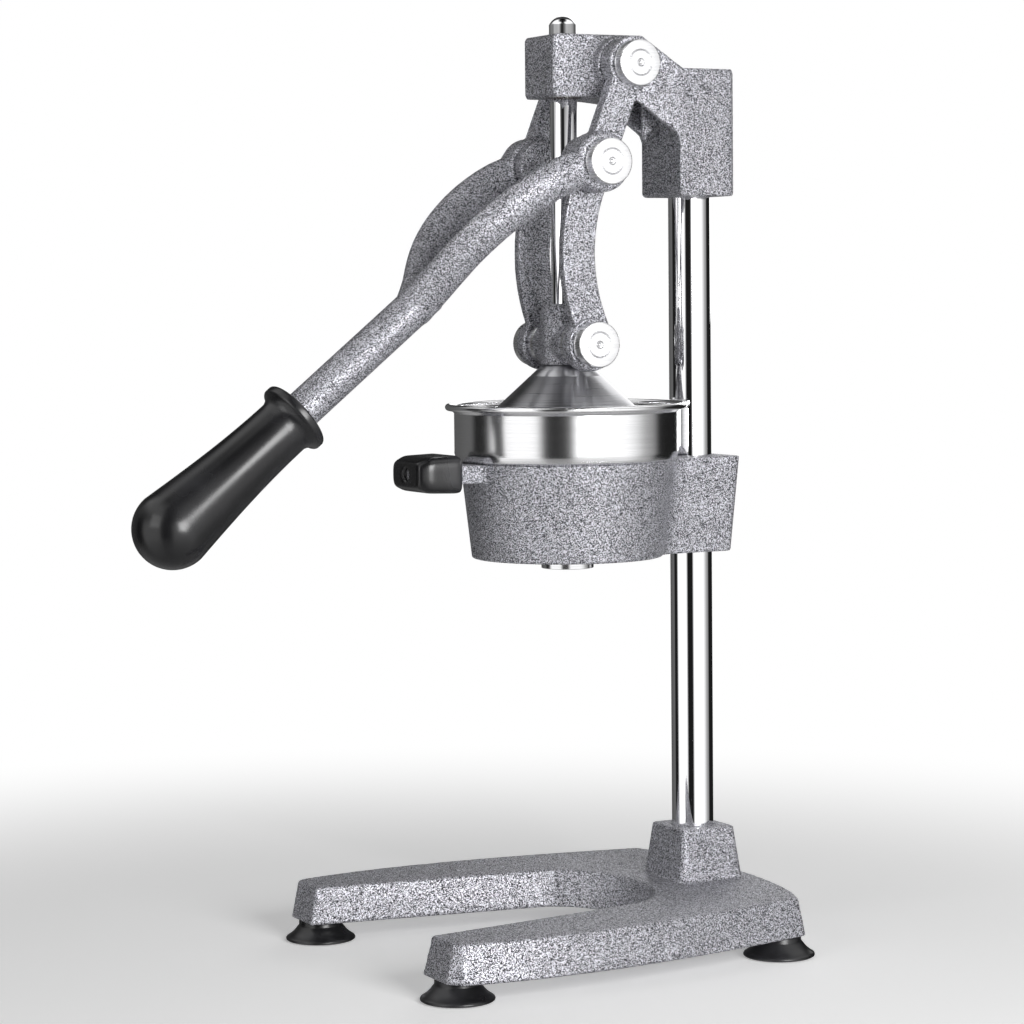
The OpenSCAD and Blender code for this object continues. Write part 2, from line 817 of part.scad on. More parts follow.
function neck_round(r, w) = [
    for (i = [0 : neck_sides - 1])
        neck_centre(r, w) + neck_r * [cos(360 * i / neck_sides), sin(360 * i / neck_sides)]];

// The corner that the round fills, as a plan
function neck_corner(r, w) =
    let (c = neck_centre(r, w), k = (r - neck_trim) / (r + neck_r), y = -ram_y + k * (c[1] + ram_y))
        [[w - neck_lap, y - neck_lap], [k * c[0], y], [w - neck_trim, c[1]], [w - neck_lap, c[1]]];

module neck_fillet() {
    foot_w = sleeve_half_w - sleeve_taper;
    difference() {
        drafted(neck_corner(bowl_foot_r, foot_w), neck_corner(bowl_top_r, sleeve_half_w),
                bracket_z, bracket_top);
        drafted(neck_round(bowl_foot_r, foot_w), neck_round(bowl_top_r, sleeve_half_w),
                bracket_z - eps, bracket_top + eps);
    }
}

module bracket_casting() {
    sleeve_foot = rounded_rect(-sleeve_half_w + sleeve_taper, sleeve_front_y,
                               sleeve_half_w - sleeve_taper, sleeve_rear - sleeve_draft,
                               sleeve_corner_r);
    sleeve_head = rounded_rect(-sleeve_half_w, sleeve_front_y, sleeve_half_w,
                               sleeve_rear, sleeve_corner_r);
    color(cast_colour)
        in_frame()
            difference() {
                union() {
                    translate([0, -ram_y, bracket_z])
                        cylinder(r1 = bowl_foot_r, r2 = bowl_top_r, h = bracket_h, $fn = 96);
                    drafted(sleeve_foot, sleeve_head, bracket_z, bracket_top);
                    for (side = [0, 1])
                        mirror([side, 0, 0])
                            neck_fillet();
                    translate([-stub_half_w, stub_front_y, bracket_top - stub_h])
                        cube([2 * stub_half_w, stub_l + stub_root, stub_h]);
                }
                translate([0, -ram_y, bracket_z + bowl_floor])
                    cylinder(r1 = bowl_foot_r + bowl_slope * bowl_floor - bowl_wall,
                             r2 = bowl_top_r + bowl_slope * eps - bowl_wall,
                             h = bracket_h - bowl_floor + eps, $fn = 96);
                translate([0, -ram_y, bracket_z - eps])
                    cylinder(r = spout_r + spout_gap, h = bowl_floor + 2 * eps);
                translate([0, 0, bracket_z - eps])
                    cylinder(r = sleeve_bore_r, h = bracket_h + 2 * eps);
                long_bar(screw_d / 2, 0, sleeve_rear + eps, 0, bracket_screw_z);
                long_bar(cap_screw_d / 2, stub_front_y - eps, stub_front_y + stub_hole_l, 0, cap_z);
            }
}

module bracket_set_screw() {
    color(steel_colour)
        in_frame()
            set_screw(screw_d, column_d / 2, sleeve_rear + screw_stand, bracket_screw_z);
}

module bracket_cap() {
    open_end = rounded_rect(-cap_w / 2, -cap_h / 2, cap_w / 2, cap_h / 2, cap_corner_r);
    shoulder = rounded_rect(-cap_w / 2 + cap_taper, -cap_h / 2 + cap_taper,
                            cap_w / 2 - cap_taper, cap_h / 2 - cap_taper, cap_corner_r);
    front = rounded_rect(-cap_front_w / 2, -cap_front_h / 2, cap_front_w / 2,
                         cap_front_h / 2, cap_front_corner_r);
    color(plastic_colour)
        in_frame()
            difference() {
                translate([0, cap_back_y, cap_z])
                    rotate([90, 0, 0]) {
                        drafted(open_end, shoulder, 0, cap_body_l);
                        drafted(shoulder, front, cap_body_l - touch, cap_l);
                    }
                translate([-stub_half_w - cap_fit, stub_front_y - cap_fit,
                           bracket_top - stub_h - cap_fit])
                    cube([2 * (stub_half_w + cap_fit), cap_l, stub_h + 2 * cap_fit]);
                long_bar(cap_screw_d / 2, cap_front_y - eps, stub_front_y + eps, 0, cap_z);
                long_bar(cap_hole_r, cap_front_y - eps, cap_front_y + cap_hole_depth, 0, cap_z);
            }
}

module bracket_cap_screw() {
    seat_y = cap_front_y + cap_hole_depth;
    tip_y = stub_front_y + stub_hole_l - cap_screw_tip_gap;
    color(steel_colour)
        in_frame()
            difference() {
                union() {
                    long_bar(cap_screw_head_r, seat_y - cap_screw_head_h, seat_y, 0, cap_z);
                    long_bar(cap_screw_d / 2, seat_y - touch, tip_y, 0, cap_z);
                }
                long_bar(cap_screw_key_r, seat_y - cap_screw_head_h - eps,
                         seat_y - cap_screw_head_h / 2, 0, cap_z, 6);
            }
}

// ---- Cup, strainer and drain -----------------------------------------------------

module strainer_cup() {
    rim_r = cup_r + rim_flare;
    rim_z = bracket_top + cup_h - rim_bead_r;
    c = cup_corner_r;
    color(chrome_colour)
        in_frame()
            difference() {
                translate([0, -ram_y, 0]) {
                    rotate_extrude($fn = 96)
                        polygon(concat(
                            [[0, basket_floor_z], [basket_r, basket_floor_z], [basket_r, bracket_top],
                             [cup_r - c, bracket_top]],
                            [for (a = [15 : 15 : 90])
                                [cup_r - c + c * sin(a), bracket_top + c - c * cos(a)]],
                            [[cup_r, rim_z - rim_fold_h], [rim_r, rim_z - rim_fold_t],
                             [rim_r, rim_z + rim_fold_t],
                             [cup_r - cup_wall + rim_fold_t / 2, rim_z - rim_fold_h / 2],
                             [cup_r - cup_wall, rim_z - rim_fold_h]],
                            [for (a = [90 : -15 : 15])
                                [cup_r - c + (c - cup_wall) * sin(a),
                                 bracket_top + c - (c - cup_wall) * cos(a)]],
                            [[basket_r - cup_wall, bracket_top + cup_wall],
                             [basket_r - cup_wall, basket_floor_z + cup_wall],
                             [0, basket_floor_z + cup_wall]]));
                    translate([0, 0, rim_z])
                        rotate_extrude($fn = 96)
                            translate([rim_r, 0])
                                circle(r = rim_bead_r, $fn = 32);
                }
                translate([0, -ram_y, basket_floor_z - eps]) {
                    for (ring_r = strainer_rings)
                        for (i = [0 : strainer_holes - 1])
                            rotate([0, 0, 360 * (i + (ring_r == strainer_rings[0] ? 0 : 0.5))
                                    / strainer_holes])
                                translate([ring_r, 0, 0])
                                    cylinder(r = strainer_hole_r, h = cup_wall + 2 * eps, $fn = 16);
                    cylinder(r = reamer_pin_r, h = cup_wall + 2 * eps);
                }
            }
}

module reamer() {
    cone_foot_z = basket_floor_z + cup_wall;
    side_h = reamer_h - reamer_top_r / 2;
    fall = (reamer_r - reamer_top_r) / side_h;
    rib_top_r = reamer_top_r + fall * reamer_rib_stop;
    color(steel_colour)
        in_frame()
            translate([0, -ram_y, cone_foot_z]) {
                rotate_extrude()
                    polygon([[0, -cup_wall - reamer_pin_drop],
                        [reamer_pin_r, -cup_wall - reamer_pin_drop], [reamer_pin_r, 0],
                        [reamer_r, 0], [reamer_top_r, side_h], [reamer_top_r / 2, reamer_h],
                        [0, reamer_h]]);
                for (i = [0 : reamer_ribs - 1])
                    rotate([0, 0, 360 * i / reamer_ribs])
                        translate([0, reamer_rib_w / 2, 0])
                            rotate([90, 0, 0])
                                linear_extrude(height = reamer_rib_w)
                                    polygon([[reamer_r - reamer_rib_root, 0],
                                        [reamer_r + reamer_rib_rise, 0],
                                        [rib_top_r + reamer_rib_rise, side_h - reamer_rib_stop],
                                        [rib_top_r - 1, side_h - reamer_rib_stop]]);
            }
}

module drain_funnel() {
    floor_z = bracket_z + bowl_floor;
    low_z = bracket_z - spout_drop;
    color(chrome_colour)
        in_frame()
            translate([0, -ram_y, 0])
                rotate_extrude($fn = 96)
                    polygon([
                        [spout_r - funnel_wall, low_z], [spout_r, low_z], [spout_r, floor_z],
                        [spout_r + funnel_flat, floor_z], [funnel_r, floor_z + funnel_rise],
                        [funnel_r, floor_z + funnel_rise + funnel_wall],
                        [spout_r + funnel_flat, floor_z + funnel_wall],
                        [spout_r, floor_z + funnel_wall],
                        [spout_r - funnel_wall, floor_z - funnel_wall]]);
}

// ---- Press rod, ram and cone -----------------------------------------------------

module press_rod() {
    color(chrome_colour)
        in_frame()
            translate([0, -ram_y, 0]) {
                translate([0, 0, ram_foot + ram_floor])
                    cylinder(r = rod_r, h = rod_top - dome_h - ram_foot - ram_floor);
                intersection() {
                    translate([0, 0, rod_top - dome_r])
                        sphere(r = dome_r);
                    translate([0, 0, rod_top - dome_h - touch])
                        cylinder(r = rod_r, h = dome_r);
                }
                translate([0, 0, ram_foot - cone_wall - nut_h - stud_tip])
                    cylinder(d = stud_d, h = cone_wall + nut_h + stud_tip + ram_floor + touch);
            }
}

module ram_block() {
    color(cast_colour)
        in_frame()
            difference() {
                union() {
                    translate([0, -ram_y, ram_foot])
                        cylinder(r = ram_r, h = ram_h - ram_shoulder_h);
                    translate([0, -ram_y, ram_foot + ram_h - ram_shoulder_h - touch])
                        cylinder(r1 = ram_r, r2 = ram_shoulder_r, h = ram_shoulder_h);
                    intersection() {
                        cross_bar(ram_pivot_r, -ram_half_w, ram_half_w, -ram_y, lower_pivot_z);
                        translate([-ram_half_w - eps, -ram_y - ram_r, ram_foot])
                            cube([2 * (ram_half_w + eps), 2 * ram_r, ram_h]);
                    }
                }
                translate([0, -ram_y, ram_foot + ram_floor])
                    cylinder(r = rod_r, h = ram_h);
                translate([0, -ram_y, ram_foot - eps])
                    cylinder(r = stud_d / 2 + stud_gap, h = ram_floor + 2 * eps);
                for (side = [0, 1])
                    mirror([side, 0, 0])
                        cross_bar(pin_r, ram_pin_x, ram_half_w + eps, -ram_y, lower_pivot_z);
                long_bar(ram_screw_d / 2, -ram_y, -ram_y + ram_r + eps, 0, ram_screw_z);
            }
}

module ram_set_screw() {
    color(steel_colour)
        in_frame()
            set_screw(ram_screw_d, -ram_y + rod_r, -ram_y + ram_r + ram_screw_stand, ram_screw_z);
}

module press_cone() {
    slope = (cone_rim_r - cone_top_r) / cone_h;
    drop = cone_wall * norm([1, slope]) / slope;
    rim_z = ram_foot - cone_h;
    lip_z = rim_z - cone_lip_h;
    color(cone_colour)
        in_frame()
            translate([0, -ram_y, 0])
                rotate_extrude($fn = 96)
                    polygon([
                        [stud_d / 2 + stud_gap, ram_foot], [cone_top_r, ram_foot],
                        [cone_rim_r, rim_z], [cone_rim_r, lip_z], [cone_rim_r - cone_wall, lip_z],
                        [cone_rim_r - cone_wall, rim_z + cone_wall / slope - drop],
                        [cone_top_r + slope * (cone_wall - drop), ram_foot - cone_wall],
                        [stud_d / 2 + stud_gap, ram_foot - cone_wall]]);
}

module cone_nut() {
    color(steel_colour)
        in_frame()
            translate([0, -ram_y, ram_foot - cone_wall - nut_h])
                difference() {
                    cylinder(r = nut_r, h = nut_h, $fn = 6);
                    translate([0, 0, -eps])
                        cylinder(d = stud_d, h = nut_h + 2 * eps);
                }
}

module lower_pin_right() {
    color(pin_colour)
        in_frame()
            pivot_pin(ram_pin_x, pin_seat_x, -ram_y, lower_pivot_z);
}

module lower_pin_left() {
    mirror([1, 0, 0])
        lower_pin_right();
}

module lower_spacer_right() {
    color(steel_colour)
        in_frame()
            difference() {
                cross_bar(spacer_r, ram_half_w, link_x - side_gap, -ram_y, lower_pivot_z);
                cross_bar(pin_r, ram_half_w - eps, link_x + eps, -ram_y, lower_pivot_z);
            }
}

module lower_spacer_left() {
    mirror([1, 0, 0])
        lower_spacer_right();
}

// ---- Links -----------------------------------------------------------------------

module link_right() {
    color(cast_colour)
        in_frame()
            difference() {
                union() {
                    intersection() {
                        difference() {
                            cross_bar(bow_r + link_web_w / 2, web_outer_x - link_web_t, web_outer_x,
                                      bow_y, link_mid_z, $fn = 128);
                            cross_bar(bow_r - link_web_w / 2, web_outer_x - link_web_t - eps,
                                      web_outer_x + eps, bow_y, link_mid_z, $fn = 128);
                        }
                        translate([0, bow_y - 2 * bow_r, lower_pivot_z])
                            cube([link_outer_x, 2 * bow_r, link_l]);
                    }
                    for (z = [lower_pivot_z, mid_pivot_z]) {
                        cross_bar(link_eye_r, link_x, web_outer_x, -ram_y, z);
                        cross_bar(link_eye_r - eye_edge, web_outer_x - touch, link_outer_x, -ram_y, z);
                    }
                }
                cross_bar(pin_r + pin_gap, link_x - eps, link_outer_x + eps, -ram_y, lower_pivot_z);
                cross_bar(pin_r + pin_gap, link_x + blind_wall, link_outer_x + eps, -ram_y, mid_pivot_z);
            }
}

module link_left() {
    mirror([1, 0, 0])
        link_right();
}

// ---- Lever -----------------------------------------------------------------------

// A point on the smooth curve through pts, t from 0 to the number of spans
function along(pts, t) =
    let (
        i = min(floor(t), len(pts) - 2),
        u = t - i,
        a = pts[max(i - 1, 0)],
        b = pts[i],
        c = pts[i + 1],
        d = pts[min(i + 2, len(pts) - 1)])
    0.5 * (2 * b + (c - a) * u + (2 * a - 5 * b + 4 * c - d) * u * u
        + (3 * b - a - 3 * c + d) * u * u * u);

// Half a size of the fork arm's section: it grows round towards the stem's shoulder
function fork_half(size, f) =
    f < fork_widen_at ? size / 2
    : size / 2 + (fork_tip_r - size / 2) * (f - fork_widen_at) / (1 - fork_widen_at);

// One ring of the fork arm at fraction f of its path
function fork_ring(f) =
    let (
        spans = len(fork_path) - 1,
        mid = along(fork_path, f * spans),
        step = along(fork_path, min(f + 0.02, 1) * spans)
            - along(fork_path, max(f - 0.02, 0) * spans),
        dir = step / norm(step),
        up = [0, -dir[2], dir[1]] / norm([dir[1], dir[2]]),
        out = cross(up, dir))
    [for (i = [0 : fork_sides - 1])
        let (a = 360 * i / fork_sides)
            mid + up * fork_half(fork_h, f) * cos(a) + out * fork_half(fork_w, f) * sin(a)];

module fork_arm() {
    rings = [for (k = [0 : fork_steps]) fork_ring(k / fork_steps)];
    n = fork_sides;
    last = fork_steps * n;
    polyhedron(
        points = [for (ring = rings) for (p = ring) p],
        faces = concat(
            [for (i = [1 : n - 2]) [0, i + 1, i]],
            [for (i = [1 : n - 2]) [last, last + i, last + i + 1]],
            [for (k = [0 : fork_steps - 1]) for (i = [0 : n - 1])
                [k * n + i, k * n + (i + 1) % n, (k + 1) * n + (i + 1) % n]],
            [for (k = [0 : fork_steps - 1]) for (i = [0 : n - 1])
                [k * n + i, (k + 1) * n + (i + 1) % n, (k + 1) * n + i]]));
}

module lever_side() {
    cross_bar(lever_eye_r, lever_eye_x, lever_eye_x + lever_eye_t, -top_pivot_y, top_pivot_z);
    cross_bar(mid_boss_r, mid_boss_x, mid_boss_x + mid_boss_t - boss_bevel, -ram_y, mid_pivot_z);
    cross_bar(mid_boss_r, mid_boss_x + mid_boss_t - boss_bevel - touch, mid_boss_x + mid_boss_t,
              -ram_y, mid_pivot_z, mid_boss_r - boss_bevel);
    translate([mid_boss_x + arm_set_back, -ram_y, mid_pivot_z])
        rotate([-crank_lean, 0, 0])
            translate([0, -short_arm_w / 2, arm_from_bore])
                cube([lever_eye_x + lever_eye_t - mid_boss_x - 2 * arm_set_back, short_arm_w,
                      crank_l - 2 * arm_from_bore]);
    fork_arm();
}

module lever_yoke() {
    color(cast_colour)
        in_frame()
            difference() {
                union() {
                    for (side = [0, 1])
                        mirror([side, 0, 0])
                            lever_side();
                    translate(stem_root - stem_overlap * stem_dir)
                        rotate([90 + stem_slope, 0, 0])
                            cylinder(d = stem_d, h = stem_overlap + grip_start + stem_in_grip);
                    translate(stem_root)
                        sphere(r = fork_tip_r);
                }
                for (side = [0, 1])
                    mirror([side, 0, 0]) {
                        cross_bar(pin_r + pin_gap, lever_eye_x - eps,
                                  lever_eye_x + lever_eye_t + eps, -top_pivot_y, top_pivot_z);
                        cross_bar(pin_r, mid_boss_x - eps, mid_boss_x + mid_boss_t + eps,
                                  -ram_y, mid_pivot_z);
                    }
            }
}

module mid_pin_right() {
    color(pin_colour)
        in_frame()
            pivot_pin(mid_boss_x, mid_boss_x + mid_boss_t, -ram_y, mid_pivot_z);
}

module mid_pin_left() {
    mirror([1, 0, 0])
        mid_pin_right();
}

module lever_grip() {
    color(plastic_colour)
        in_frame()
            translate(stem_root + grip_start * stem_dir)
                rotate([90 + stem_slope, 0, 0])
                    rotate_extrude()
                        polygon(concat(
                            [[stem_d / 2, 0], [grip_collar_r - collar_edge, 0],
                             [grip_collar_r, collar_edge], [grip_collar_r, collar_t],
                             [grip_collar_r - collar_fall, collar_t + collar_fall_run]],
                            [for (i = [0 : 10])
                                [grip_waist_r + (grip_end_r - grip_waist_r) * (1 - cos(9 * i)),
                                 body_start + (grip_mid_l - body_start) * i / 10]],
                            [for (a = [7.5 : 7.5 : 90])
                                [grip_end_r * cos(a), grip_mid_l + grip_end_r * sin(a)]],
                            [[0, stem_in_grip], [stem_d / 2, stem_in_grip]]));
}

// ---- Assembly ----------------------------------------------------------------------

base_casting();
foot_front_right();
foot_front_left();
foot_rear_right();
foot_rear_left();
foot_screws();
column();
column_washer();
column_bolt();
head_casting();
head_set_screws();
rod_bush_upper();
rod_bush_lower();
bracket_casting();
bracket_set_screw();
bracket_cap();
bracket_cap_screw();
strainer_cup();
reamer();
drain_funnel();
top_pin_right();
top_pin_left();
lever_yoke();
lever_grip();
mid_pin_right();
mid_pin_left();
link_right();
link_left();
press_rod();
ram_block();
ram_set_screw();
press_cone();
cone_nut();
lower_pin_right();
lower_pin_left();
lower_spacer_right();
lower_spacer_left();
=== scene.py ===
"""Lever citrus juice press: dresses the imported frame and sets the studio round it.

The sizes are written in millimetres, from the column's axis where a piece stands on
it, and are turned into metres as each mesh is made.
"""

from __future__ import annotations

import logging
import math
from dataclasses import dataclass, field
from enum import Enum

import bpy
from mathutils import Matrix, Vector

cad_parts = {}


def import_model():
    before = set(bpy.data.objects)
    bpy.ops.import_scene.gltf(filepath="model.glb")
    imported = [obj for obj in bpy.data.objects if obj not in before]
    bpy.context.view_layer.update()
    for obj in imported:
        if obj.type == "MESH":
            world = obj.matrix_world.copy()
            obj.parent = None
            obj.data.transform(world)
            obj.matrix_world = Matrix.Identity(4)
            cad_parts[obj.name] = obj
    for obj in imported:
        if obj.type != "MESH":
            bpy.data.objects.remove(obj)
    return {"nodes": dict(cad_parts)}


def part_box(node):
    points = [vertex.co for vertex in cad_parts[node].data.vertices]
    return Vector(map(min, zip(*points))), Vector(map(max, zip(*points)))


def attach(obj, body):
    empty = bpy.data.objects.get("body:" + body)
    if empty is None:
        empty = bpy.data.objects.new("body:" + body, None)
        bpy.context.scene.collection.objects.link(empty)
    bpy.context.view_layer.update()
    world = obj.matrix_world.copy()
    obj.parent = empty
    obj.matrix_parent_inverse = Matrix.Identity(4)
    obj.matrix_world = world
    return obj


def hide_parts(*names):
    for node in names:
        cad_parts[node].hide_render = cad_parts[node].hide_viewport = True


MM = 0.001
Point = tuple[float, float]
Colour = tuple[float, float, float]

log = logging.getLogger("juice_press")


# ---- Modelling steps ------------------------------------------------------------


def clear_selection() -> None:
    """Leave edit mode and deselect every object."""
    if bpy.context.object is not None and bpy.context.object.mode != "OBJECT":
        bpy.ops.object.mode_set(mode="OBJECT")
    bpy.ops.object.select_all(action="DESELECT")


def make_active(piece: bpy.types.Object) -> None:
    """Select one object alone and make it the active one.

    Args:
        piece: The object to select.
    """
    clear_selection()
    piece.select_set(True)
    bpy.context.view_layer.objects.active = piece


def apply_modifier(piece: bpy.types.Object, kind: str, **settings: object) -> None:
    """Add a modifier to a piece, set it and apply it.

    Args:
        piece: The object that the modifier works on.
        kind: Blender's name of the modifier's type.
        settings: The modifier's properties and their values.
    """
    make_active(piece)
    modifier = piece.modifiers.new(kind.title(), kind)
    for name, value in settings.items():
        setattr(modifier, name, value)
    bpy.ops.object.modifier_apply(modifier=modifier.name)


def smooth_shading(piece: bpy.types.Object, angle: float = 32.0) -> None:
    """Shade a piece smooth, with edges sharper than the angle kept crisp.

    Args:
        piece: The object to shade.
        angle: The sharpest angle that is still smoothed, in degrees.
    """
    make_active(piece)
    bpy.ops.object.shade_smooth_by_angle(angle=math.radians(angle))


def set_in_place(piece: bpy.types.Object, place: Matrix) -> None:
    """Move a piece's mesh to its place, and leave the object itself at the origin.

    Args:
        piece: The piece, made at the origin.
        place: Where it goes; a mirroring place keeps its faces outwards.
    """
    piece.data.transform(place @ piece.matrix_world)
    piece.matrix_world = Matrix.Identity(4)
    if place.determinant() < 0:
        piece.data.flip_normals()


def turned(name: str, profile: list[Point], closed: bool = True, steps: int = 96,
           edge: float = 0.0, angle: float = 32.0) -> bpy.types.Object:
    """Turn a piece about Z, one ring at a time, as on a lathe.

    Args:
        name: The new object's name.
        profile: Radius and height of each ring, in millimetres. A radius of nought
            closes the piece on its axis.
        closed: Whether the last ring joins the first.
        steps: Number of corners round a ring.
        edge: Radius given to the sharp edges, in millimetres.
        angle: The sharpest angle that is shaded smooth, in degrees.

    Returns:
        The turned object, about the Z axis at the origin.
    """
    pole = 0.01
    rings = [(max(r, pole), z) for r, z in profile]
    if closed:
        rings.append(rings[0])
    clear_selection()
    bpy.ops.mesh.primitive_circle_add(
        vertices=steps, radius=rings[0][0] * MM, fill_type="NOTHING",
        location=(0, 0, rings[0][1] * MM))
    piece = bpy.context.object
    piece.name = piece.data.name = name
    bpy.ops.object.transform_apply(location=True, rotation=False, scale=False)
    bpy.ops.object.mode_set(mode="EDIT")
    bpy.ops.mesh.select_all(action="SELECT")
    for (r0, z0), (r1, z1) in zip(rings, rings[1:]):
        bpy.ops.mesh.extrude_region_move(
            TRANSFORM_OT_translate={"value": (0, 0, (z1 - z0) * MM)})
        if r1 != r0:
            bpy.ops.transform.resize(value=(r1 / r0, r1 / r0, 1), center_override=(0, 0, z1 * MM))
    bpy.ops.mesh.select_all(action="SELECT")
    bpy.ops.mesh.remove_doubles(threshold=2.5 * pole * MM)
    bpy.ops.mesh.normals_make_consistent(inside=False)
    bpy.ops.object.mode_set(mode="OBJECT")
    if edge > 0:
        apply_modifier(piece, "BEVEL", width=edge * MM, segments=3, limit_method="ANGLE",
                       angle_limit=math.radians(35), use_clamp_overlap=True)
    smooth_shading(piece, angle)
    return piece


def copy_of(node: bpy.types.Object, name: str) -> bpy.types.Object:
    """Copy a frame node's mesh into a new object and join its loose triangles.

    Args:
        node: The frame node, which is left as it is.
        name: The new object's name.

    Returns:
        The copy, with whole edges and vertices.
    """
    piece = bpy.data.objects.new(name, node.data.copy())
    piece.data.name = name
    piece.data.materials.clear()
    bpy.context.scene.collection.objects.link(piece)
    make_active(piece)
    if piece.data.has_custom_normals:
        bpy.ops.mesh.customdata_custom_splitnormals_clear()
    bpy.ops.object.mode_set(mode="EDIT")
    bpy.ops.mesh.select_all(action="SELECT")
    bpy.ops.mesh.remove_doubles(threshold=0.002 * MM)
    bpy.ops.object.mode_set(mode="OBJECT")
    return piece


def cast(node: bpy.types.Object, name: str, cell: float, rounds: int,
         keep: float) -> bpy.types.Object:
    """Give a frame node the rounded edges and filled corners of a casting.

    Args:
        node: The frame node that the casting follows.
        name: The new object's name.
        cell: Size of the skin's faces, in millimetres.
        rounds: How many times the skin is smoothed: more gives rounder edges.
        keep: Share of the faces that is kept.

    Returns:
        The casting.
    """
    piece = copy_of(node, name)
    apply_modifier(piece, "REMESH", mode="VOXEL", voxel_size=cell * MM, adaptivity=0.0)
    apply_modifier(piece, "SMOOTH", factor=0.5, iterations=rounds)
    apply_modifier(piece, "DECIMATE", ratio=keep)
    make_active(piece)
    bpy.ops.object.shade_smooth()
    return piece


def machined(node: bpy.types.Object, name: str, edge: float) -> bpy.types.Object:
    """Give a frame node broken edges, as a turned or milled piece has.

    Args:
        node: The frame node that the piece follows.
        name: The new object's name.
        edge: Width of the broken edges, in millimetres.

    Returns:
        The piece.
    """
    piece = copy_of(node, name)
    make_active(piece)
    bpy.ops.object.mode_set(mode="EDIT")
    bpy.ops.mesh.select_all(action="SELECT")
    bpy.ops.mesh.dissolve_limited(angle_limit=math.radians(0.3))
    bpy.ops.object.mode_set(mode="OBJECT")
    if edge > 0:
        apply_modifier(piece, "BEVEL", width=edge * MM, segments=2, limit_method="ANGLE",
                       angle_limit=math.radians(40), use_clamp_overlap=True)
    smooth_shading(piece)
    return piece


def twin(piece: bpy.types.Object, name: str) -> bpy.types.Object:
    """Copy a piece with a mesh of its own.

    Args:
        piece: The piece to copy.
        name: The copy's name.

    Returns:
        The copy.
    """
    other = bpy.data.objects.new(name, piece.data.copy())
    other.data.name = name
    bpy.context.scene.collection.objects.link(other)
    return other


def arc(centre: Point, radius: float, start: float, stop: float, steps: int) -> list[Point]:
    """Points on an arc, from one angle to another in degrees, both ends included."""
    angles = [math.radians(start + (stop - start) * i / steps) for i in range(steps + 1)]
    return [(centre[0] + radius * math.cos(a), centre[1] + radius * math.sin(a)) for a in angles]


# ---- Finishes -------------------------------------------------------------------


class Slot(Enum):
    """The record's material slots."""

    PAINT = "hammered_paint"
    CHROME = "chrome_plate"
    POLISHED = "polished_steel"
    DARK = "dark_brushed_steel"
    SATIN = "satin_steel"
    ZINC = "zinc_steel"
    BRONZE = "bronze"
    PLASTIC = "black_plastic"
    RUBBER = "black_rubber"


class Nodes:
    """A short hand for adding and joining the nodes of one node tree."""

    def __init__(self, tree: bpy.types.NodeTree) -> None:
        """Keep the tree that the nodes go into."""
        self.tree = tree

    def add(self, kind: str, **values: object) -> bpy.types.Node:
        """Add a node.

        Args:
            kind: Blender's type of the node.
            values: Settings by attribute name, or socket values by socket name with
                underscores for blanks; a node's output is joined to the socket.

        Returns:
            The new node.
        """
        made = self.tree.nodes.new(kind)
        for key, value in values.items():
            if hasattr(made, key) and not isinstance(value, bpy.types.NodeSocket):
                setattr(made, key, value)
                continue
            index = int(key[1:]) if key[0] == "i" and key[1:].isdigit() else None
            socket = made.inputs[index if index is not None else key.replace("_", " ")]
            if isinstance(value, bpy.types.NodeSocket):
                self.tree.links.new(value, socket)
            else:
                socket.default_value = value
        return made

    def join(self, source: bpy.types.NodeSocket, target: bpy.types.NodeSocket) -> None:
        """Join an output to an input."""
        self.tree.links.new(source, target)

    def math(self, operation: str, first: object, second: object = 0.0) -> bpy.types.NodeSocket:
        """Add a Math node and give its result."""
        return self.add("ShaderNodeMath", operation=operation, i0=first, i1=second).outputs[0]

    def noise(self, place: bpy.types.NodeSocket, scale: object,
              detail: float) -> bpy.types.NodeSocket:
        """Add a Noise Texture node and give its grey value."""
        return self.add("ShaderNodeTexNoise", Vector=place, Scale=scale,
                        Detail=detail).outputs["Fac"]

    def ramp(self, value: object, stops: list[tuple[float, Colour]]) -> bpy.types.NodeSocket:
        """Add a colour ramp.

        Args:
            value: The socket that drives the ramp.
            stops: Place and colour of each stop, in order.

        Returns:
            The ramp's colour.
        """
        node = self.add("ShaderNodeValToRGB", i0=value)
        node.color_ramp.interpolation = "LINEAR"
        elements = node.color_ramp.elements
        while len(elements) < len(stops):
            elements.new(1.0)
        for element, (place, colour) in zip(elements, stops):
            element.position = place
            element.color = (*colour, 1.0)
        return node.outputs[0]

    def mixed(self, share: object, first: object, second: object) -> bpy.types.NodeSocket:
        """Mix two colours.

        Args:
            share: Share of the second colour, a socket or a number.
            first: The first colour, or a socket that gives it.
            second: The second colour, or a socket that gives it.

        Returns:
            The mixed colour.
        """
        node = self.add("ShaderNodeMix", data_type="RGBA")
        for index, value in ((0, share), (6, first), (7, second)):
            if isinstance(value, bpy.types.NodeSocket):
                self.join(value, node.inputs[index])
            else:
                node.inputs[index].default_value = value if index == 0 else (*value, 1.0)
        return node.outputs[2]


def greys(*stops: Point) -> list[tuple[float, Colour]]:
    """Turn places and levels into the stops of a grey ramp."""
    return [(place, (level,) * 3) for place, level in stops]


def new_group(name: str, inputs: dict[str, float], outputs: dict[str, str]) -> Nodes:
    """Start a shader node group.

    Args:
        name: The group's name.
        inputs: Number inputs and their standing values.
        outputs: Output names and their socket types.

    Returns:
        The group's nodes, with its input and output nodes already there.
    """
    tree = bpy.data.node_groups.new(name, "ShaderNodeTree")
    for key, value in inputs.items():
        socket = tree.interface.new_socket(key, in_out="INPUT", socket_type="NodeSocketFloat")
        socket.default_value = value
    for key, kind in outputs.items():
        tree.interface.new_socket(key, in_out="OUTPUT", socket_type=kind)
    tree.nodes.new("NodeGroupInput")
    tree.nodes.new("NodeGroupOutput")
    return Nodes(tree)


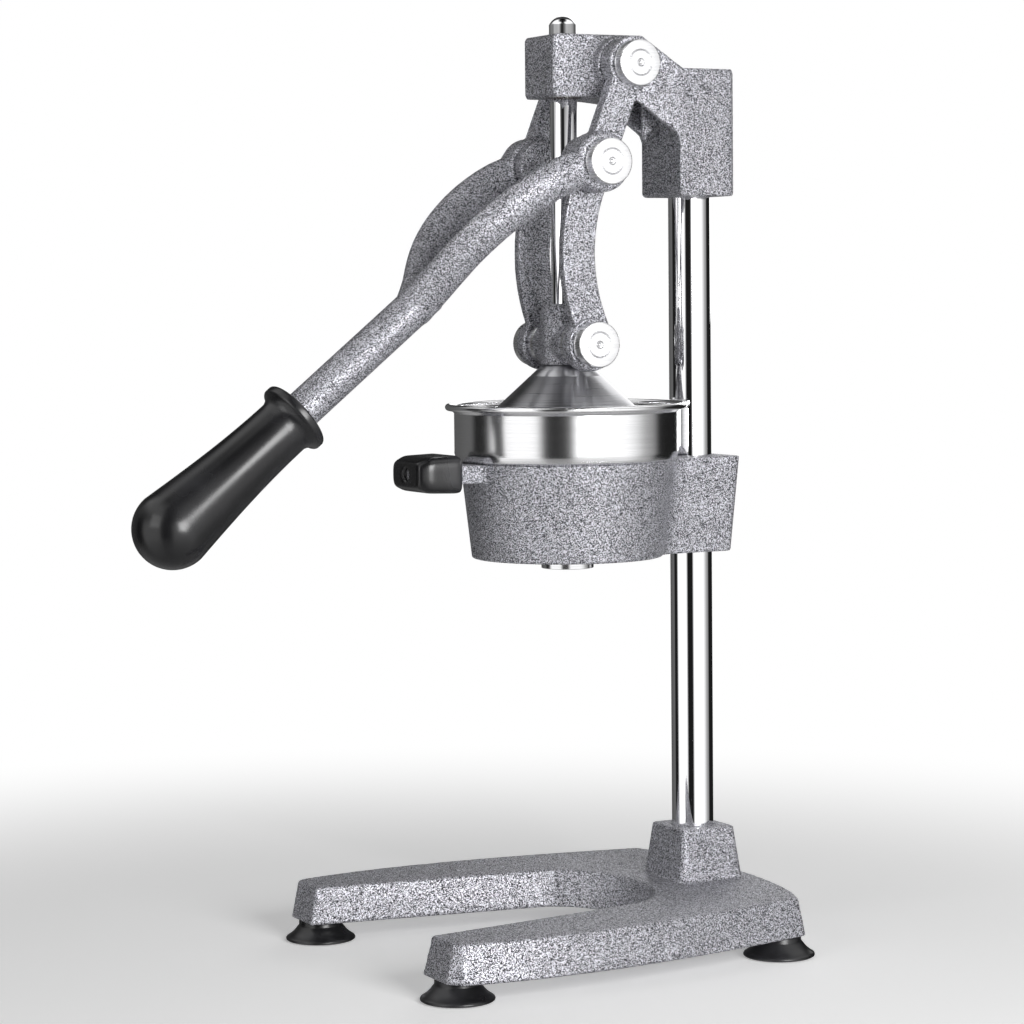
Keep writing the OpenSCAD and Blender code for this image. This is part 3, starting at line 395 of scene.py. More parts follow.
def speckle_group() -> bpy.types.NodeTree:
    """Round dark specks of many sizes on a light ground, as hammered enamel has.

    Returns:
        The node group, made once.
    """
    name = "hammered_speckle"
    if name in bpy.data.node_groups:
        return bpy.data.node_groups[name]
    kit = new_group(name, {"Grain": 2000.0, "Share": 0.5, "Reach": 0.5},
                    {"Specks": "NodeSocketFloat", "Height": "NodeSocketFloat"})
    given = kit.tree.nodes["Group Input"].outputs
    place = kit.add("ShaderNodeTexCoord").outputs["Object"]
    cells = kit.add("ShaderNodeTexVoronoi", Vector=place, Scale=given["Grain"]).outputs
    chance = kit.add("ShaderNodeSeparateColor", i0=cells["Color"]).outputs
    drift = kit.noise(place, 140.0, 2.0)
    share = kit.math("ADD", given["Share"],
                     kit.math("MULTIPLY", kit.math("SUBTRACT", drift, 0.5), 0.25))
    chosen = kit.math("LESS_THAN", chance["Red"], share)
    size = kit.math("MULTIPLY", given["Reach"], kit.math("ADD", chance["Green"], 0.5))
    dots = kit.add("ShaderNodeMapRange", interpolation_type="SMOOTHSTEP",
                   Value=kit.math("SUBTRACT", cells["Distance"], size),
                   From_Min=-0.12, From_Max=0.12, To_Min=1.0, To_Max=0.0).outputs[0]
    specks = kit.math("MULTIPLY", dots, chosen)
    out = kit.tree.nodes["Group Output"].inputs
    kit.join(specks, out["Specks"])
    kit.join(kit.math("SUBTRACT", chance["Blue"], specks), out["Height"])
    return kit.tree


def edge_and_crevice_group() -> bpy.types.NodeTree:
    """Where a surface's edges and crevices are, from its pointiness.

    Returns:
        The node group, made once.
    """
    name = "edge_wear"
    if name in bpy.data.node_groups:
        return bpy.data.node_groups[name]
    kit = new_group(name, {"From": 0.53, "To": 0.60, "Shallow": 0.475, "Deep": 0.43},
                    {"Edges": "NodeSocketFloat", "Crevices": "NodeSocketFloat"})
    given = kit.tree.nodes["Group Input"].outputs
    # The Edges mask lightens edges with rubbed paint and painted highlight; the Crevices mask
    # darkens hollows with painted shade.
    point = kit.add("ShaderNodeNewGeometry").outputs["Pointiness"]
    for low, high, output in (("From", "To", "Edges"), ("Shallow", "Deep", "Crevices")):
        mask = kit.add("ShaderNodeMapRange", interpolation_type="SMOOTHSTEP", Value=point,
                       From_Min=given[low], From_Max=given[high], To_Min=0.0, To_Max=1.0)
        kit.join(mask.outputs[0], kit.tree.nodes["Group Output"].inputs[output])
    return kit.tree


def grain_group() -> bpy.types.NodeTree:
    """Fine marks drawn out along one direction, and soft smears between them.

    Returns:
        The node group, made once.
    """
    name = "drawn_grain"
    if name in bpy.data.node_groups:
        return bpy.data.node_groups[name]
    kit = new_group(name, {"Across": 900.0, "Along": 30.0, "Smears": 25.0},
                    {"Marks": "NodeSocketFloat", "Smear": "NodeSocketFloat"})
    given = kit.tree.nodes["Group Input"].outputs
    place = kit.add("ShaderNodeTexCoord").outputs["Object"]
    scale = kit.add("ShaderNodeCombineXYZ", X=given["Along"], Y=given["Along"],
                    Z=given["Across"]).outputs[0]
    drawn = kit.add("ShaderNodeVectorMath", operation="MULTIPLY", i0=place, i1=scale).outputs[0]
    out = kit.tree.nodes["Group Output"].inputs
    kit.join(kit.noise(drawn, 1.0, 3.0), out["Marks"])
    kit.join(kit.noise(place, given["Smears"], 2.0), out["Smear"])
    return kit.tree


@dataclass(frozen=True)
class Finish:
    """A finish and the slot it belongs to.

    Attributes:
        slot: The record's material slot.
        colour: The finish's main colour.
        roughness: How dull it is, from nought to one.
        metallic: How metallic it is, from nought to one.
    """

    slot: Slot
    colour: Colour
    roughness: float
    metallic: float

    @property
    def name(self) -> str:
        """Name of the finish's material."""
        return f"{self.slot.value}_finish"

    def shader(self) -> tuple[bpy.types.Material, Nodes, bpy.types.Node]:
        """Make the material with its plain shader.

        Returns:
            The material, its nodes and its Principled shader.
        """
        material = bpy.data.materials.new(self.name)
        material.use_nodes = True
        kit = Nodes(material.node_tree)
        shader = material.node_tree.nodes["Principled BSDF"]
        shader.inputs["Base Color"].default_value = (*self.colour, 1.0)
        shader.inputs["Roughness"].default_value = self.roughness
        shader.inputs["Metallic"].default_value = self.metallic
        return material, kit, shader

    def group(self, kit: Nodes, tree: bpy.types.NodeTree, **values: float) -> bpy.types.Node:
        """Place a shared node group in a material with its own values.

        Args:
            kit: The material's nodes.
            tree: The shared group.
            values: The group's inputs that are set, by name.

        Returns:
            The placed group.
        """
        node = kit.add("ShaderNodeGroup", node_tree=tree)
        for key, value in values.items():
            node.inputs[key].default_value = value
        return node

    def bump(self, kit: Nodes, shader: bpy.types.Node, height: bpy.types.NodeSocket,
             depth: float, strength: float) -> None:
        """Join a height to the shader's normal, with its depth in millimetres."""
        bump = kit.add("ShaderNodeBump", Height=height, Distance=depth * MM, Strength=strength)
        kit.join(bump.outputs["Normal"], shader.inputs["Normal"])

    def material(self) -> bpy.types.Material:
        """Give the finish's material, made once."""
        return bpy.data.materials.get(self.name) or self.build()

    def build(self) -> bpy.types.Material:
        """Make the finish's material."""
        raise NotImplementedError


@dataclass(frozen=True)
class HammeredPaint(Finish):
    """Silver-grey hammered enamel with dark specks.

    Attributes:
        speck: Colour of the specks.
        speck_roughness: How dull the specks are.
        grain: How fine the specks are.
        share: Share of the cells that hold a speck.
        reach: Size of a speck in its cell.
        relief: Depth of the specks, in millimetres.
        rubbed_and_highlit_edge: Colour of the lightened edges, partly rubbed paint and partly
            painted highlight.
        edge_rub_and_highlight: How far the edges are lightened, partly rubbed paint and partly
            painted highlight, from nought to one.
        crevice_shade: Colour of the painted shade in the crevices.
        crevice_shade_strength: How far the crevices are darkened with painted shade, from nought
            to one.
    """

    speck: Colour = (0.015, 0.015, 0.02)
    speck_roughness: float = 0.6
    grain: float = 2300.0
    share: float = 0.92
    reach: float = 0.55
    relief: float = 0.12
    # Partly rubbed paint, partly painted highlight: the edges are lightened towards this colour.
    rubbed_and_highlit_edge: Colour = (0.86, 0.86, 0.90)
    edge_rub_and_highlight: float = 0.25
    # Painted shade: the crevices and valleys are darkened towards this colour.
    crevice_shade: Colour = (0.03, 0.03, 0.035)
    crevice_shade_strength: float = 0.85

    def build(self) -> bpy.types.Material:
        """Make the enamel from the specks, the edges lightened with rubbed paint and painted
        highlight, and the crevices darkened with painted shade.

        Returns:
            The material.
        """
        material, kit, shader = self.shader()
        drops = self.group(kit, speckle_group(), Grain=self.grain, Share=self.share,
                           Reach=self.reach).outputs
        pointiness_masks = self.group(kit, edge_and_crevice_group()).outputs
        colour = kit.ramp(drops["Specks"], [(0.0, self.colour), (1.0, self.speck)])
        # Edges lightened: partly rubbed paint, partly painted highlight.
        edges = kit.math("MULTIPLY", pointiness_masks["Edges"], self.edge_rub_and_highlight)
        # Painted shade: the crevices are darkened by their pointiness.
        crevices = kit.math("MULTIPLY", pointiness_masks["Crevices"], self.crevice_shade_strength)
        worn_and_highlit = kit.mixed(edges, colour, self.rubbed_and_highlit_edge)
        kit.join(kit.mixed(crevices, worn_and_highlit, self.crevice_shade), shader.inputs["Base Color"])
        rough = kit.ramp(drops["Specks"], greys((0.0, self.roughness),
                                                (1.0, self.speck_roughness)))
        kit.join(rough, shader.inputs["Roughness"])
        self.bump(kit, shader, drops["Height"], self.relief, 0.7)
        return material


@dataclass(frozen=True)
class Plate(Finish):
    """Mirror-bright plating with the faintest marks.

    Attributes:
        haze: How far the smears dull the plating.
    """

    haze: float = 0.05

    def build(self) -> bpy.types.Material:
        """Make the plating.

        Returns:
            The material.
        """
        material, kit, shader = self.shader()
        grain = self.group(kit, grain_group(), Across=1500.0, Along=60.0, Smears=18.0)
        smears = greys((0.35, self.roughness), (0.7, self.roughness + self.haze))
        kit.join(kit.ramp(grain.outputs["Smear"], smears), shader.inputs["Roughness"])
        self.bump(kit, shader, grain.outputs["Marks"], 0.002, 0.25)
        return material


@dataclass(frozen=True)
class BrushedMetal(Finish):
    """Metal with fine marks drawn round it.

    Attributes:
        across: How fine the marks are.
        depth: Depth of the marks, in millimetres.
        spread: How far the marks change the roughness.
        groove_shade: How far the grooves are darkened with painted shade, from nought to one.
        turning: How far lights are drawn out across marks that run round the Z axis.
        dulling: Share of the colour that the marks keep.
        groove_shade_colour: Colour of the painted shade in the grooves.
    """

    across: float = 2200.0
    depth: float = 0.01
    spread: float = 0.12
    # Painted shade: how far the grooves are darkened by their pointiness.
    groove_shade: float = 0.0
    turning: float = 0.0
    dulling: float = 0.92
    groove_shade_colour: Colour = (0.02, 0.02, 0.02)

    def build(self) -> bpy.types.Material:
        """Make the brushed metal.

        Returns:
            The material.
        """
        material, kit, shader = self.shader()
        if self.turning > 0:
            shader.inputs["Anisotropic"].default_value = self.turning
            shader.inputs["Anisotropic Rotation"].default_value = 0.25
            about = kit.add("ShaderNodeTangent", direction_type="RADIAL", axis="Z")
            kit.join(about.outputs[0], shader.inputs["Tangent"])
        grain = self.group(kit, grain_group(), Across=self.across, Along=12.0, Smears=22.0)
        marks = grain.outputs["Marks"]
        dull = tuple(c * self.dulling for c in self.colour)
        pointiness_masks = self.group(kit, edge_and_crevice_group(), Shallow=0.47, Deep=0.40).outputs
        colour = kit.ramp(marks, [(0.35, dull), (0.62, self.colour)])
        # Painted shade: the grooves and crevices are darkened by their pointiness.
        dark = kit.math("MULTIPLY", pointiness_masks["Crevices"], self.groove_shade)
        kit.join(kit.mixed(dark, colour, self.groove_shade_colour), shader.inputs["Base Color"])
        rough = greys((0.3, self.roughness), (0.7, self.roughness + self.spread))
        kit.join(kit.ramp(marks, rough), shader.inputs["Roughness"])
        self.bump(kit, shader, marks, self.depth, 0.3)
        return material


@dataclass(frozen=True)
class Moulded(Finish):
    """Moulded plastic or rubber with a soft skin and a little dust.

    Attributes:
        skin: How fine the skin's grain is.
        depth: Depth of the grain, in millimetres.
        dust: Colour of the dust.
        haze: How far the dust dulls the skin.
    """

    skin: float = 900.0
    depth: float = 0.02
    dust: Colour = (0.05, 0.05, 0.055)
    haze: float = 0.12

    def build(self) -> bpy.types.Material:
        """Make the moulded skin.

        Returns:
            The material.
        """
        material, kit, shader = self.shader()
        place = kit.add("ShaderNodeTexCoord").outputs["Object"]
        grain = kit.noise(place, self.skin, 2.0)
        smear = kit.noise(place, 35.0, 3.0)
        kit.join(kit.ramp(smear, [(0.45, self.colour), (0.85, self.dust)]),
                 shader.inputs["Base Color"])
        rough = greys((0.3, self.roughness), (0.8, self.roughness + self.haze))
        kit.join(kit.ramp(smear, rough), shader.inputs["Roughness"])
        self.bump(kit, shader, grain, self.depth, 0.3)
        return material


# The enamel's edges are lightened with rubbed paint and painted highlight, and its crevices are
# darkened with painted shade.
PAINT = HammeredPaint(Slot.PAINT, (0.76, 0.76, 0.82), 0.43, 0.52)
CHROME = Plate(Slot.CHROME, (0.92, 0.92, 0.93), 0.03, 1.0)
POLISHED = BrushedMetal(Slot.POLISHED, (0.90, 0.90, 0.91), 0.18, 1.0, depth=0.0004, spread=0.01)
DARK_STEEL = BrushedMetal(Slot.DARK, (0.52, 0.52, 0.54), 0.27, 1.0, across=1600.0, depth=0.001,
                          spread=0.03, turning=0.9)
# The satin pins' grooves are darkened with painted shade.
SATIN = BrushedMetal(Slot.SATIN, (0.80, 0.80, 0.81), 0.26, 1.0, across=1200.0, depth=0.001,
                     spread=0.03, groove_shade=1.0)
ZINC = BrushedMetal(Slot.ZINC, (0.55, 0.55, 0.57), 0.32, 1.0)
BRONZE = BrushedMetal(Slot.BRONZE, (0.55, 0.38, 0.18), 0.30, 1.0)
PLASTIC = Moulded(Slot.PLASTIC, (0.010, 0.010, 0.011), 0.20, 0.0, dust=(0.025, 0.025, 0.028))
RUBBER = Moulded(Slot.RUBBER, (0.009, 0.009, 0.010), 0.26, 0.0, skin=1400.0)


# ---- The press ------------------------------------------------------------------


@dataclass
class SubAssembly:
    """A part of the press that is built and dressed together.

    Attributes:
        nodes: The frame's nodes by name.
        body: The body that the pieces ride on.
    """

    nodes: dict[str, bpy.types.Object]
    body: str = "frame"

    def dress(self, piece: bpy.types.Object, finish: Finish, *stands_for: str,
              body: str = "") -> None:
        """Give a new piece its finish, its body and the nodes it stands for.

        Args:
            piece: The new piece, in its place.
            finish: Its finish.
            stands_for: The nodes that it replaces.
            body: The body it rides on, if not the sub-assembly's own.
        """
        piece.data.materials.clear()
        piece.data.materials.append(finish.material())
        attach(piece, body or self.body)
        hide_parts(*stands_for)
        log.info("%s: %s, %d faces, rides on %s", piece.name, finish.name,
                 len(piece.data.polygons), body or self.body)

    def middle(self, name: str) -> Vector:
        """The middle of a node's box, in metres."""
        low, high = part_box(name)
        return (low + high) / 2

    def build(self) -> None:
        """Build and dress the pieces."""
        raise NotImplementedError


@dataclass
class Stand(SubAssembly):
    """The U base, its suction feet and the column.

    Attributes:
        cell: Size of the base's skin, in millimetres.
        rounds: How rounded the base's edges are.
        bore_r: Radius of the bore for the column's bolt, in millimetres.
        bore_l: Depth of that bore.
        chamfer: Size of the chamfers at the column's ends.
        foot: Outline of a suction foot, radius and height in millimetres.
    """

    cell: float = 0.85
    rounds: int = 2
    bore_r: float = 5.0
    bore_l: float = 22.0
    chamfer: float = 0.8
    foot: list[Point] = field(default_factory=lambda: [
        (2.5, 2.6), (6.0, 2.6), (12.2, 1.6), (16.9, 0.0), (17.6, 0.0), (18.1, 0.35), (18.2, 0.9),
        (17.9, 1.5), (17.0, 2.1), (15.8, 2.9), (14.5, 4.0), (13.3, 5.3), (12.3, 6.6), (11.5, 7.5),
        (11.25, 8.0), (11.25, 9.7), (10.9, 10.3), (2.5, 10.3)])

    def build(self) -> None:
        """Build the base, the feet and the column."""
        base = cast(self.nodes["base_casting"], "base_shell", self.cell, self.rounds, keep=0.5)
        self.dress(base, PAINT, "base_casting")
        foot = turned("foot_pattern", self.foot, angle=38)
        for corner in ("front_right", "front_left", "rear_right", "rear_left"):
            name = f"foot_{corner}"
            piece = twin(foot, f"suction_{name}")
            spot = self.middle(name)
            set_in_place(piece, Matrix.Translation((spot.x, spot.y, 0)))
            self.dress(piece, RUBBER, name)
        bpy.data.objects.remove(foot)
        self.build_column()
        for name, edge in (("column_bolt", 0.4), ("column_washer", 0.2), ("foot_screws", 0.3)):
            self.dress(machined(self.nodes[name], f"{name}_broken_edges", edge), ZINC, name)

    def build_column(self) -> None:
        """Build the chrome column, chamfered at both ends."""
        low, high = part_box("column")
        r = (high.x - low.x) / 2 / MM
        z0, z1 = low.z / MM, high.z / MM
        bore, depth, end = self.bore_r, z0 + self.bore_l, self.chamfer
        column = turned("chrome_column", [
            (bore, z0), (r - end, z0), (r, z0 + end), (r, z1 - end), (r - end, z1), (0, z1),
            (0, depth), (bore, depth)], steps=128, edge=0.2)
        spot = self.middle("column")
        set_in_place(column, Matrix.Translation((spot.x, spot.y, 0)))
        self.dress(column, CHROME, "column")


@dataclass
class Head(SubAssembly):
    """The cast head, its rod bushes and its set screws.

    Attributes:
        cell: Size of the head's skin, in millimetres.
        rounds: How rounded its edges are.
    """

    cell: float = 0.56
    rounds: int = 5

    def build(self) -> None:
        """Build the head and what is fixed in it."""
        head = cast(self.nodes["head_casting"], "head_shell", self.cell, self.rounds, keep=0.7)
        self.dress(head, PAINT, "head_casting")
        self.dress(machined(self.nodes["head_set_screws"], "head_socket_screws", 0.3), ZINC,
                   "head_set_screws")
        for name in ("rod_bush_upper", "rod_bush_lower"):
            self.dress(machined(self.nodes[name], f"{name}_chamfered", 0.4), BRONZE, name)


@dataclass
class Bracket(SubAssembly):
    """The cast bracket with its bowl, and the black cap on its stub.

    Attributes:
        cell: Size of the bracket's skin, in millimetres.
        rounds: How rounded its edges are.
        cap_cell: Size of the cap's skin, in millimetres.
        cap_rounds: How rounded the cap's edges are.
    """

    cell: float = 0.8
    rounds: int = 5
    cap_cell: float = 0.6
    cap_rounds: int = 64

    def build(self) -> None:
        """Build the bracket, its cap and their screws."""
        bracket = cast(self.nodes["bracket_casting"], "bracket_shell", self.cell, self.rounds,
                       keep=0.7)
        self.dress(bracket, PAINT, "bracket_casting")
        cap = cast(self.nodes["bracket_cap"], "stub_cap", self.cap_cell, self.cap_rounds, keep=0.6)
        self.dress(cap, PLASTIC, "bracket_cap")
        self.dress(machined(self.nodes["bracket_set_screw"], "bracket_socket_screw", 0.3), ZINC,
                   "bracket_set_screw")
        self.dress(machined(self.nodes["bracket_cap_screw"], "cap_screw", 0.2), ZINC,
                   "bracket_cap_screw")


@dataclass
class JuiceSet(SubAssembly):
    """The strainer cup, the reamer in it and the drain funnel below.

    Attributes:
        cup_r: Outer radius of the cup's wall, in millimetres.
        wall_gap: How near to that radius the wall's own edges are.
        foot_round: Radius at the foot of the cup's wall.
        reamer_cell: Size of the reamer's skin.
        reamer_rounds: How rounded the reamer's ribs are.
        funnel: Outline of the drain funnel from its spout's lower end, in millimetres.
    """

    cup_r: float = 57.4
    wall_gap: float = 0.3
    foot_round: float = 1.9
    reamer_cell: float = 0.6
    reamer_rounds: int = 4
    funnel: list[Point] = field(default_factory=lambda: [
        (12.2, 0.0), (13.4, 0.0), (13.4, 10.7), (25.4, 10.7), (42.0, 15.7), (42.0, 16.9),
        (25.4, 11.9), (13.4, 11.9), (12.2, 9.5)])

    def round_foot(self, cup: bpy.types.Object) -> None:
        """Round the outer edge at the foot of the cup's wall.

        Args:
            cup: The strainer cup, in its place.
        """
        middle = self.middle("strainer_cup")
        mesh = cup.data
        away = [math.hypot(v.co.x - middle.x, v.co.y - middle.y) / MM for v in mesh.vertices]
        inside = self.cup_r - self.wall_gap
        foot = min(v.co.z for v, r in zip(mesh.vertices, away) if r > inside) + 0.1 * MM
        make_active(cup)
        bpy.ops.object.mode_set(mode="EDIT")
        bpy.ops.mesh.select_all(action="DESELECT")
        bpy.ops.object.mode_set(mode="OBJECT")
        for edge in mesh.edges:
            edge.select = all(
                mesh.vertices[i].co.z < foot and abs(away[i] - self.cup_r) < self.wall_gap
                for i in edge.vertices)
        bpy.ops.object.mode_set(mode="EDIT")
        bpy.ops.mesh.bevel(offset=self.foot_round * MM, segments=5, affect="EDGES")
        bpy.ops.object.mode_set(mode="OBJECT")
        smooth_shading(cup)

    def build(self) -> None:
        """Build the pieces that the juice runs through."""
        cup = machined(self.nodes["strainer_cup"], "strainer_cup_polished", 0.0)
        self.round_foot(cup)
        self.dress(cup, POLISHED, "strainer_cup")
        reamer = cast(self.nodes["reamer"], "reamer_pressed", self.reamer_cell,
                      self.reamer_rounds, keep=0.7)
        self.dress(reamer, POLISHED, "reamer")
        funnel = turned("drain_funnel_spun", self.funnel, edge=0.3)
        spot, (low, _) = self.middle("drain_funnel"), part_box("drain_funnel")
        set_in_place(funnel, Matrix.Translation((spot.x, spot.y, low.z)))
        self.dress(funnel, POLISHED, "drain_funnel")


class Side(Enum):
    """The two sides of the press, with the sign of X on each."""

    RIGHT = 1
    LEFT = -1


@dataclass
class PivotPin(SubAssembly):
    """A round-headed pivot pin, turned from bar.

    Attributes:
        name: The name of the pin's nodes without their side.
        head_r: Radius of the head, in millimetres.
        head_t: Thickness of the head.
        shank_r: Radius of the shank.
        groove_r: Radius of the ring on the face.
        dimple_r: Radius of the centre hole.
    """

    name: str = "top_pin"
    head_r: float = 11.6
    head_t: float = 7.1
    shank_r: float = 6.0
    groove_r: float = 6.3
    dimple_r: float = 2.1

    def outline(self, length: float) -> list[Point]:
        """Outline of the pin along its axis.

        Args:
            length: The pin's length, at which its face is, in millimetres.

        Returns:
            Radius and height of each ring, in millimetres.
        """
        face, seat = length, length - self.head_t
        groove, dimple, r = self.groove_r, self.dimple_r, self.head_r
        return ([(0, 0), (self.shank_r - 0.5, 0), (self.shank_r, 0.5), (self.shank_r, seat),
                 (r - 0.7, seat), (r, seat + 0.5), (r, seat + 1.5), (r - 0.18, seat + 1.7),
                 (r, seat + 1.9)]
                + arc((r - 0.8, face - 0.8), 0.8, 0, 90, 5)
                + [(groove + 1.0, face), (groove + 0.5, face), (groove, face - 0.8),
                   (groove - 0.5, face), (groove - 1.0, face), (dimple + 0.8, face),
                   (dimple, face), (dimple * 0.82, face - 0.9), (dimple * 0.6, face - 1.0)]
                + arc((0, face - 1.1), dimple * 0.52, 20, 85, 4)
                + [(0, face - 1.1 + dimple * 0.52)])

    def build(self) -> None:
        """Turn the pin once and set a copy on each side."""
        low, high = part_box(f"{self.name}_right")
        pattern = turned("pin_pattern", self.outline((high.x - low.x) / MM), closed=False,
                         angle=30)
        for side in Side:
            node = f"{self.name}_{side.name.lower()}"
            pin = twin(pattern, f"{node}_turned")
            along = Matrix.Rotation(math.radians(90 * side.value), 4, "Y")
            spot = self.middle(node)
            tip = low.x if side is Side.RIGHT else -low.x
            set_in_place(pin, Matrix.Translation((tip, spot.y, spot.z)) @ along)
            self.dress(pin, SATIN, node)
        bpy.data.objects.remove(pattern)


@dataclass
class Lever(SubAssembly):
    """The forked lever and its grip.

    Attributes:
        cell: Size of the fork's skin, in millimetres.
        rounds: How rounded its edges are.
        slope: Slope of the stem below level, in degrees.
        grip_l: Length of the grip, in millimetres.
        stem_r: Radius of the stem in the grip.
        collar_r: Radius of the grip's collar.
        waist_r: Radius of the grip's waist.
        end_r: Radius of the grip's round end.
    """

    cell: float = 0.64
    rounds: int = 6
    slope: float = 38.8
    grip_l: float = 104.5
    stem_r: float = 9.6
    collar_r: float = 18.8
    waist_r: float = 14.6
    end_r: float = 19.8

    def grip_outline(self) -> list[Point]:
        """Outline of the grip from its collar.

        Returns:
            Radius and length of each ring, in millimetres.
        """
        middle, swell = self.grip_l - self.end_r, self.end_r - self.waist_r
        body = [(self.waist_r + swell * (1 - math.cos(math.radians(4.5 * i))),
                 9 + (middle - 9) * i / 20) for i in range(21)]
        return ([(self.stem_r, 0), (self.collar_r - 1.6, 0)]
                + arc((self.collar_r - 1.2, 1.2), 1.2, -60, 0, 4)
                + arc((self.collar_r - 1.4, 3.4), 1.4, 0, 70, 4)
                + [(self.collar_r - 2.4, 5.6), (self.waist_r + 0.7, 7.2)] + body[:-1]
                + arc((0, middle), self.end_r, 0, 86, 14)
                + [(0, self.grip_l), (0, self.grip_l - 20), (self.stem_r, self.grip_l - 20)])

    def build(self) -> None:
        """Build the fork and the grip."""
        yoke = cast(self.nodes["lever_yoke"], "lever_fork", self.cell, self.rounds, keep=0.7)
        self.dress(yoke, PAINT, "lever_yoke")
        grip = turned("grip_moulded", self.grip_outline(), angle=38)
        low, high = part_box("lever_grip")
        back = math.radians(self.slope)
        end = Vector((0, low.y + self.end_r * MM, low.z + self.end_r * MM))
        middle = (self.grip_l - self.end_r) * MM
        start = end + Vector((0, math.cos(back), math.sin(back))) * middle
        turn = Matrix.Rotation(math.radians(90 + self.slope), 4, "X")
        set_in_place(grip, Matrix.Translation(start) @ turn)
        self.dress(grip, PLASTIC, "lever_grip")


@dataclass
class Links(SubAssembly):
    """The two bowed side links, each on a body of its own.

    Attributes:
        cell: Size of a link's skin, in millimetres.
        rounds: How rounded its edges are.
    """

    cell: float = 0.42
    rounds: int = 4

    def build(self) -> None:
        """Build both links."""
        for side in Side:
            node = f"link_{side.name.lower()}"
            link = cast(self.nodes[node], f"{node}_casting", self.cell, self.rounds, keep=0.7)
            self.dress(link, PAINT, node, body=node)


@dataclass
class Ram(SubAssembly):
    """The press rod, its block, the press cone and their small pieces.

    Attributes:
        rod_r: Radius of the rod, in millimetres.
        dome_r: Radius of the rod's dome.
        stud_r: Radius of the stud at the rod's foot.
        stud_l: Length of the stud.
        cone_top_r: Radius of the cone's flat top.
        cone_rim_r: Radius of the cone's rim.
        cone_lip: Height of the straight lip below the cone.
        cone_wall: Thickness of the cone.
        cone_bore_r: Radius of the hole for the stud.
        cone_ring_r: Radius of the fine ring near the cone's top.
        cell: Size of the block's skin.
        rounds: How rounded the block's edges are.
    """

    rod_r: float = 7.0
    dome_r: float = 7.7
    stud_r: float = 4.0
    stud_l: float = 11.8
    cone_top_r: float = 12.0
    cone_rim_r: float = 48.0
    cone_lip: float = 2.5
    cone_wall: float = 2.0
    cone_bore_r: float = 4.1
    cone_ring_r: float = 18.0
    cell: float = 0.4
    rounds: int = 4

    def cone_outline(self, height: float) -> list[Point]:
        """Outline of the press cone from its lip's lower edge.

        Args:
            height: Height of the cone with its lip, in millimetres.

        Returns:
            Radius and height of each ring, in millimetres.
        """
        top, rim, lip, wall = self.cone_top_r, self.cone_rim_r, self.cone_lip, self.cone_wall
        fall = (height - lip) / (rim - top)
        drop = wall * math.hypot(1, fall)

        def slope(r: float) -> float:
            """Height of the cone's skin at a radius."""
            return height - (r - top) * fall

        inner, ring = rim - wall, self.cone_ring_r
        return [(self.cone_bore_r, height), (top - 0.6, height), (top - 0.1, height - 0.12),
                (top + 0.4, slope(top + 0.4)), (ring - 0.25, slope(ring - 0.25)),
                (ring - 0.1, slope(ring) - 0.15), (ring + 0.25, slope(ring + 0.25)),
                (rim - 0.5, slope(rim - 0.5)), (rim, lip - 0.2), (rim, 0.25), (rim - 0.25, 0),
                (inner + 0.25, 0), (inner, 0.25), (inner, slope(inner) - drop),
                (top + (wall - drop) / fall, height - wall), (self.cone_bore_r, height - wall)]

    def build(self) -> None:
        """Build the ram's pieces."""
        self.build_rod()
        block = cast(self.nodes["ram_block"], "ram_block_casting", self.cell, self.rounds,
                     keep=0.7)
        self.dress(block, PAINT, "ram_block")
        spot, (low, high) = self.middle("press_cone"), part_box("press_cone")
        cone = turned("press_cone_spun", self.cone_outline((high.z - low.z) / MM), steps=160,
                      angle=40)
        set_in_place(cone, Matrix.Translation((spot.x, spot.y, low.z)))
        self.dress(cone, DARK_STEEL, "press_cone")
        for name, edge in (("cone_nut", 0.5), ("ram_set_screw", 0.3)):
            self.dress(machined(self.nodes[name], f"{name}_broken_edges", edge), ZINC, name)
        for side in Side:
            node = f"lower_spacer_{side.name.lower()}"
            self.dress(machined(self.nodes[node], f"{node}_turned", 0.5), SATIN, node)

    def build_rod(self) -> None:
        """Build the chrome rod with its domed top and its stud."""
        low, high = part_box("press_rod")
        z0, z1 = low.z / MM, high.z / MM
        first = math.degrees(math.acos(self.rod_r / self.dome_r))
        rod = turned("chrome_rod", [
            (0, z0), (self.stud_r - 0.4, z0), (self.stud_r, z0 + 0.4),
            (self.stud_r, z0 + self.stud_l), (self.rod_r, z0 + self.stud_l)]
            + arc((0, z1 - self.dome_r), self.dome_r, first, 86, 12) + [(0, z1)],
            closed=False, angle=40)
        spot = self.middle("press_rod")
        set_in_place(rod, Matrix.Translation((spot.x, spot.y, 0)))
        self.dress(rod, CHROME, "press_rod")


# ---- Studio ---------------------------------------------------------------------


# Levels round the press, from straight behind it at 0 by its left side to the camera
# at 0.5 and on by its right side, and from straight below it at 0 to straight above at 1.
BANDS = ((0.00, 0.02), (0.03, 0.08), (0.10, 0.09), (0.182, 0.12), (0.20, 0.01), (0.252, 0.01),
         (0.278, 1.0), (0.412, 1.0), (0.436, 0.01), (0.508, 0.01), (0.530, 1.0), (0.68, 1.0),
         (0.705, 0.8), (0.74, 0.4), (0.778, 0.25), (0.80, 0.01), (0.97, 0.01), (1.00, 0.02))
SIDES = ((0.00, 0.05), (0.10, 0.06), (0.15, 1.0), (0.40, 1.0), (0.46, 0.06), (0.54, 0.06),
         (0.60, 1.0), (0.85, 1.0), (0.90, 0.06), (1.00, 0.05))
ABOVE = ((0.0, 0.30), (0.30, 0.50), (0.60, 0.25), (0.74, 0.30), (0.84, 1.0), (0.955, 1.0),
         (0.985, 0.03), (1.0, 0.02))
LIFT = ((0.0, 1.0), (0.22, 0.6), (0.34, 0.0), (0.60, 0.0), (0.72, 0.85), (0.84, 1.0))
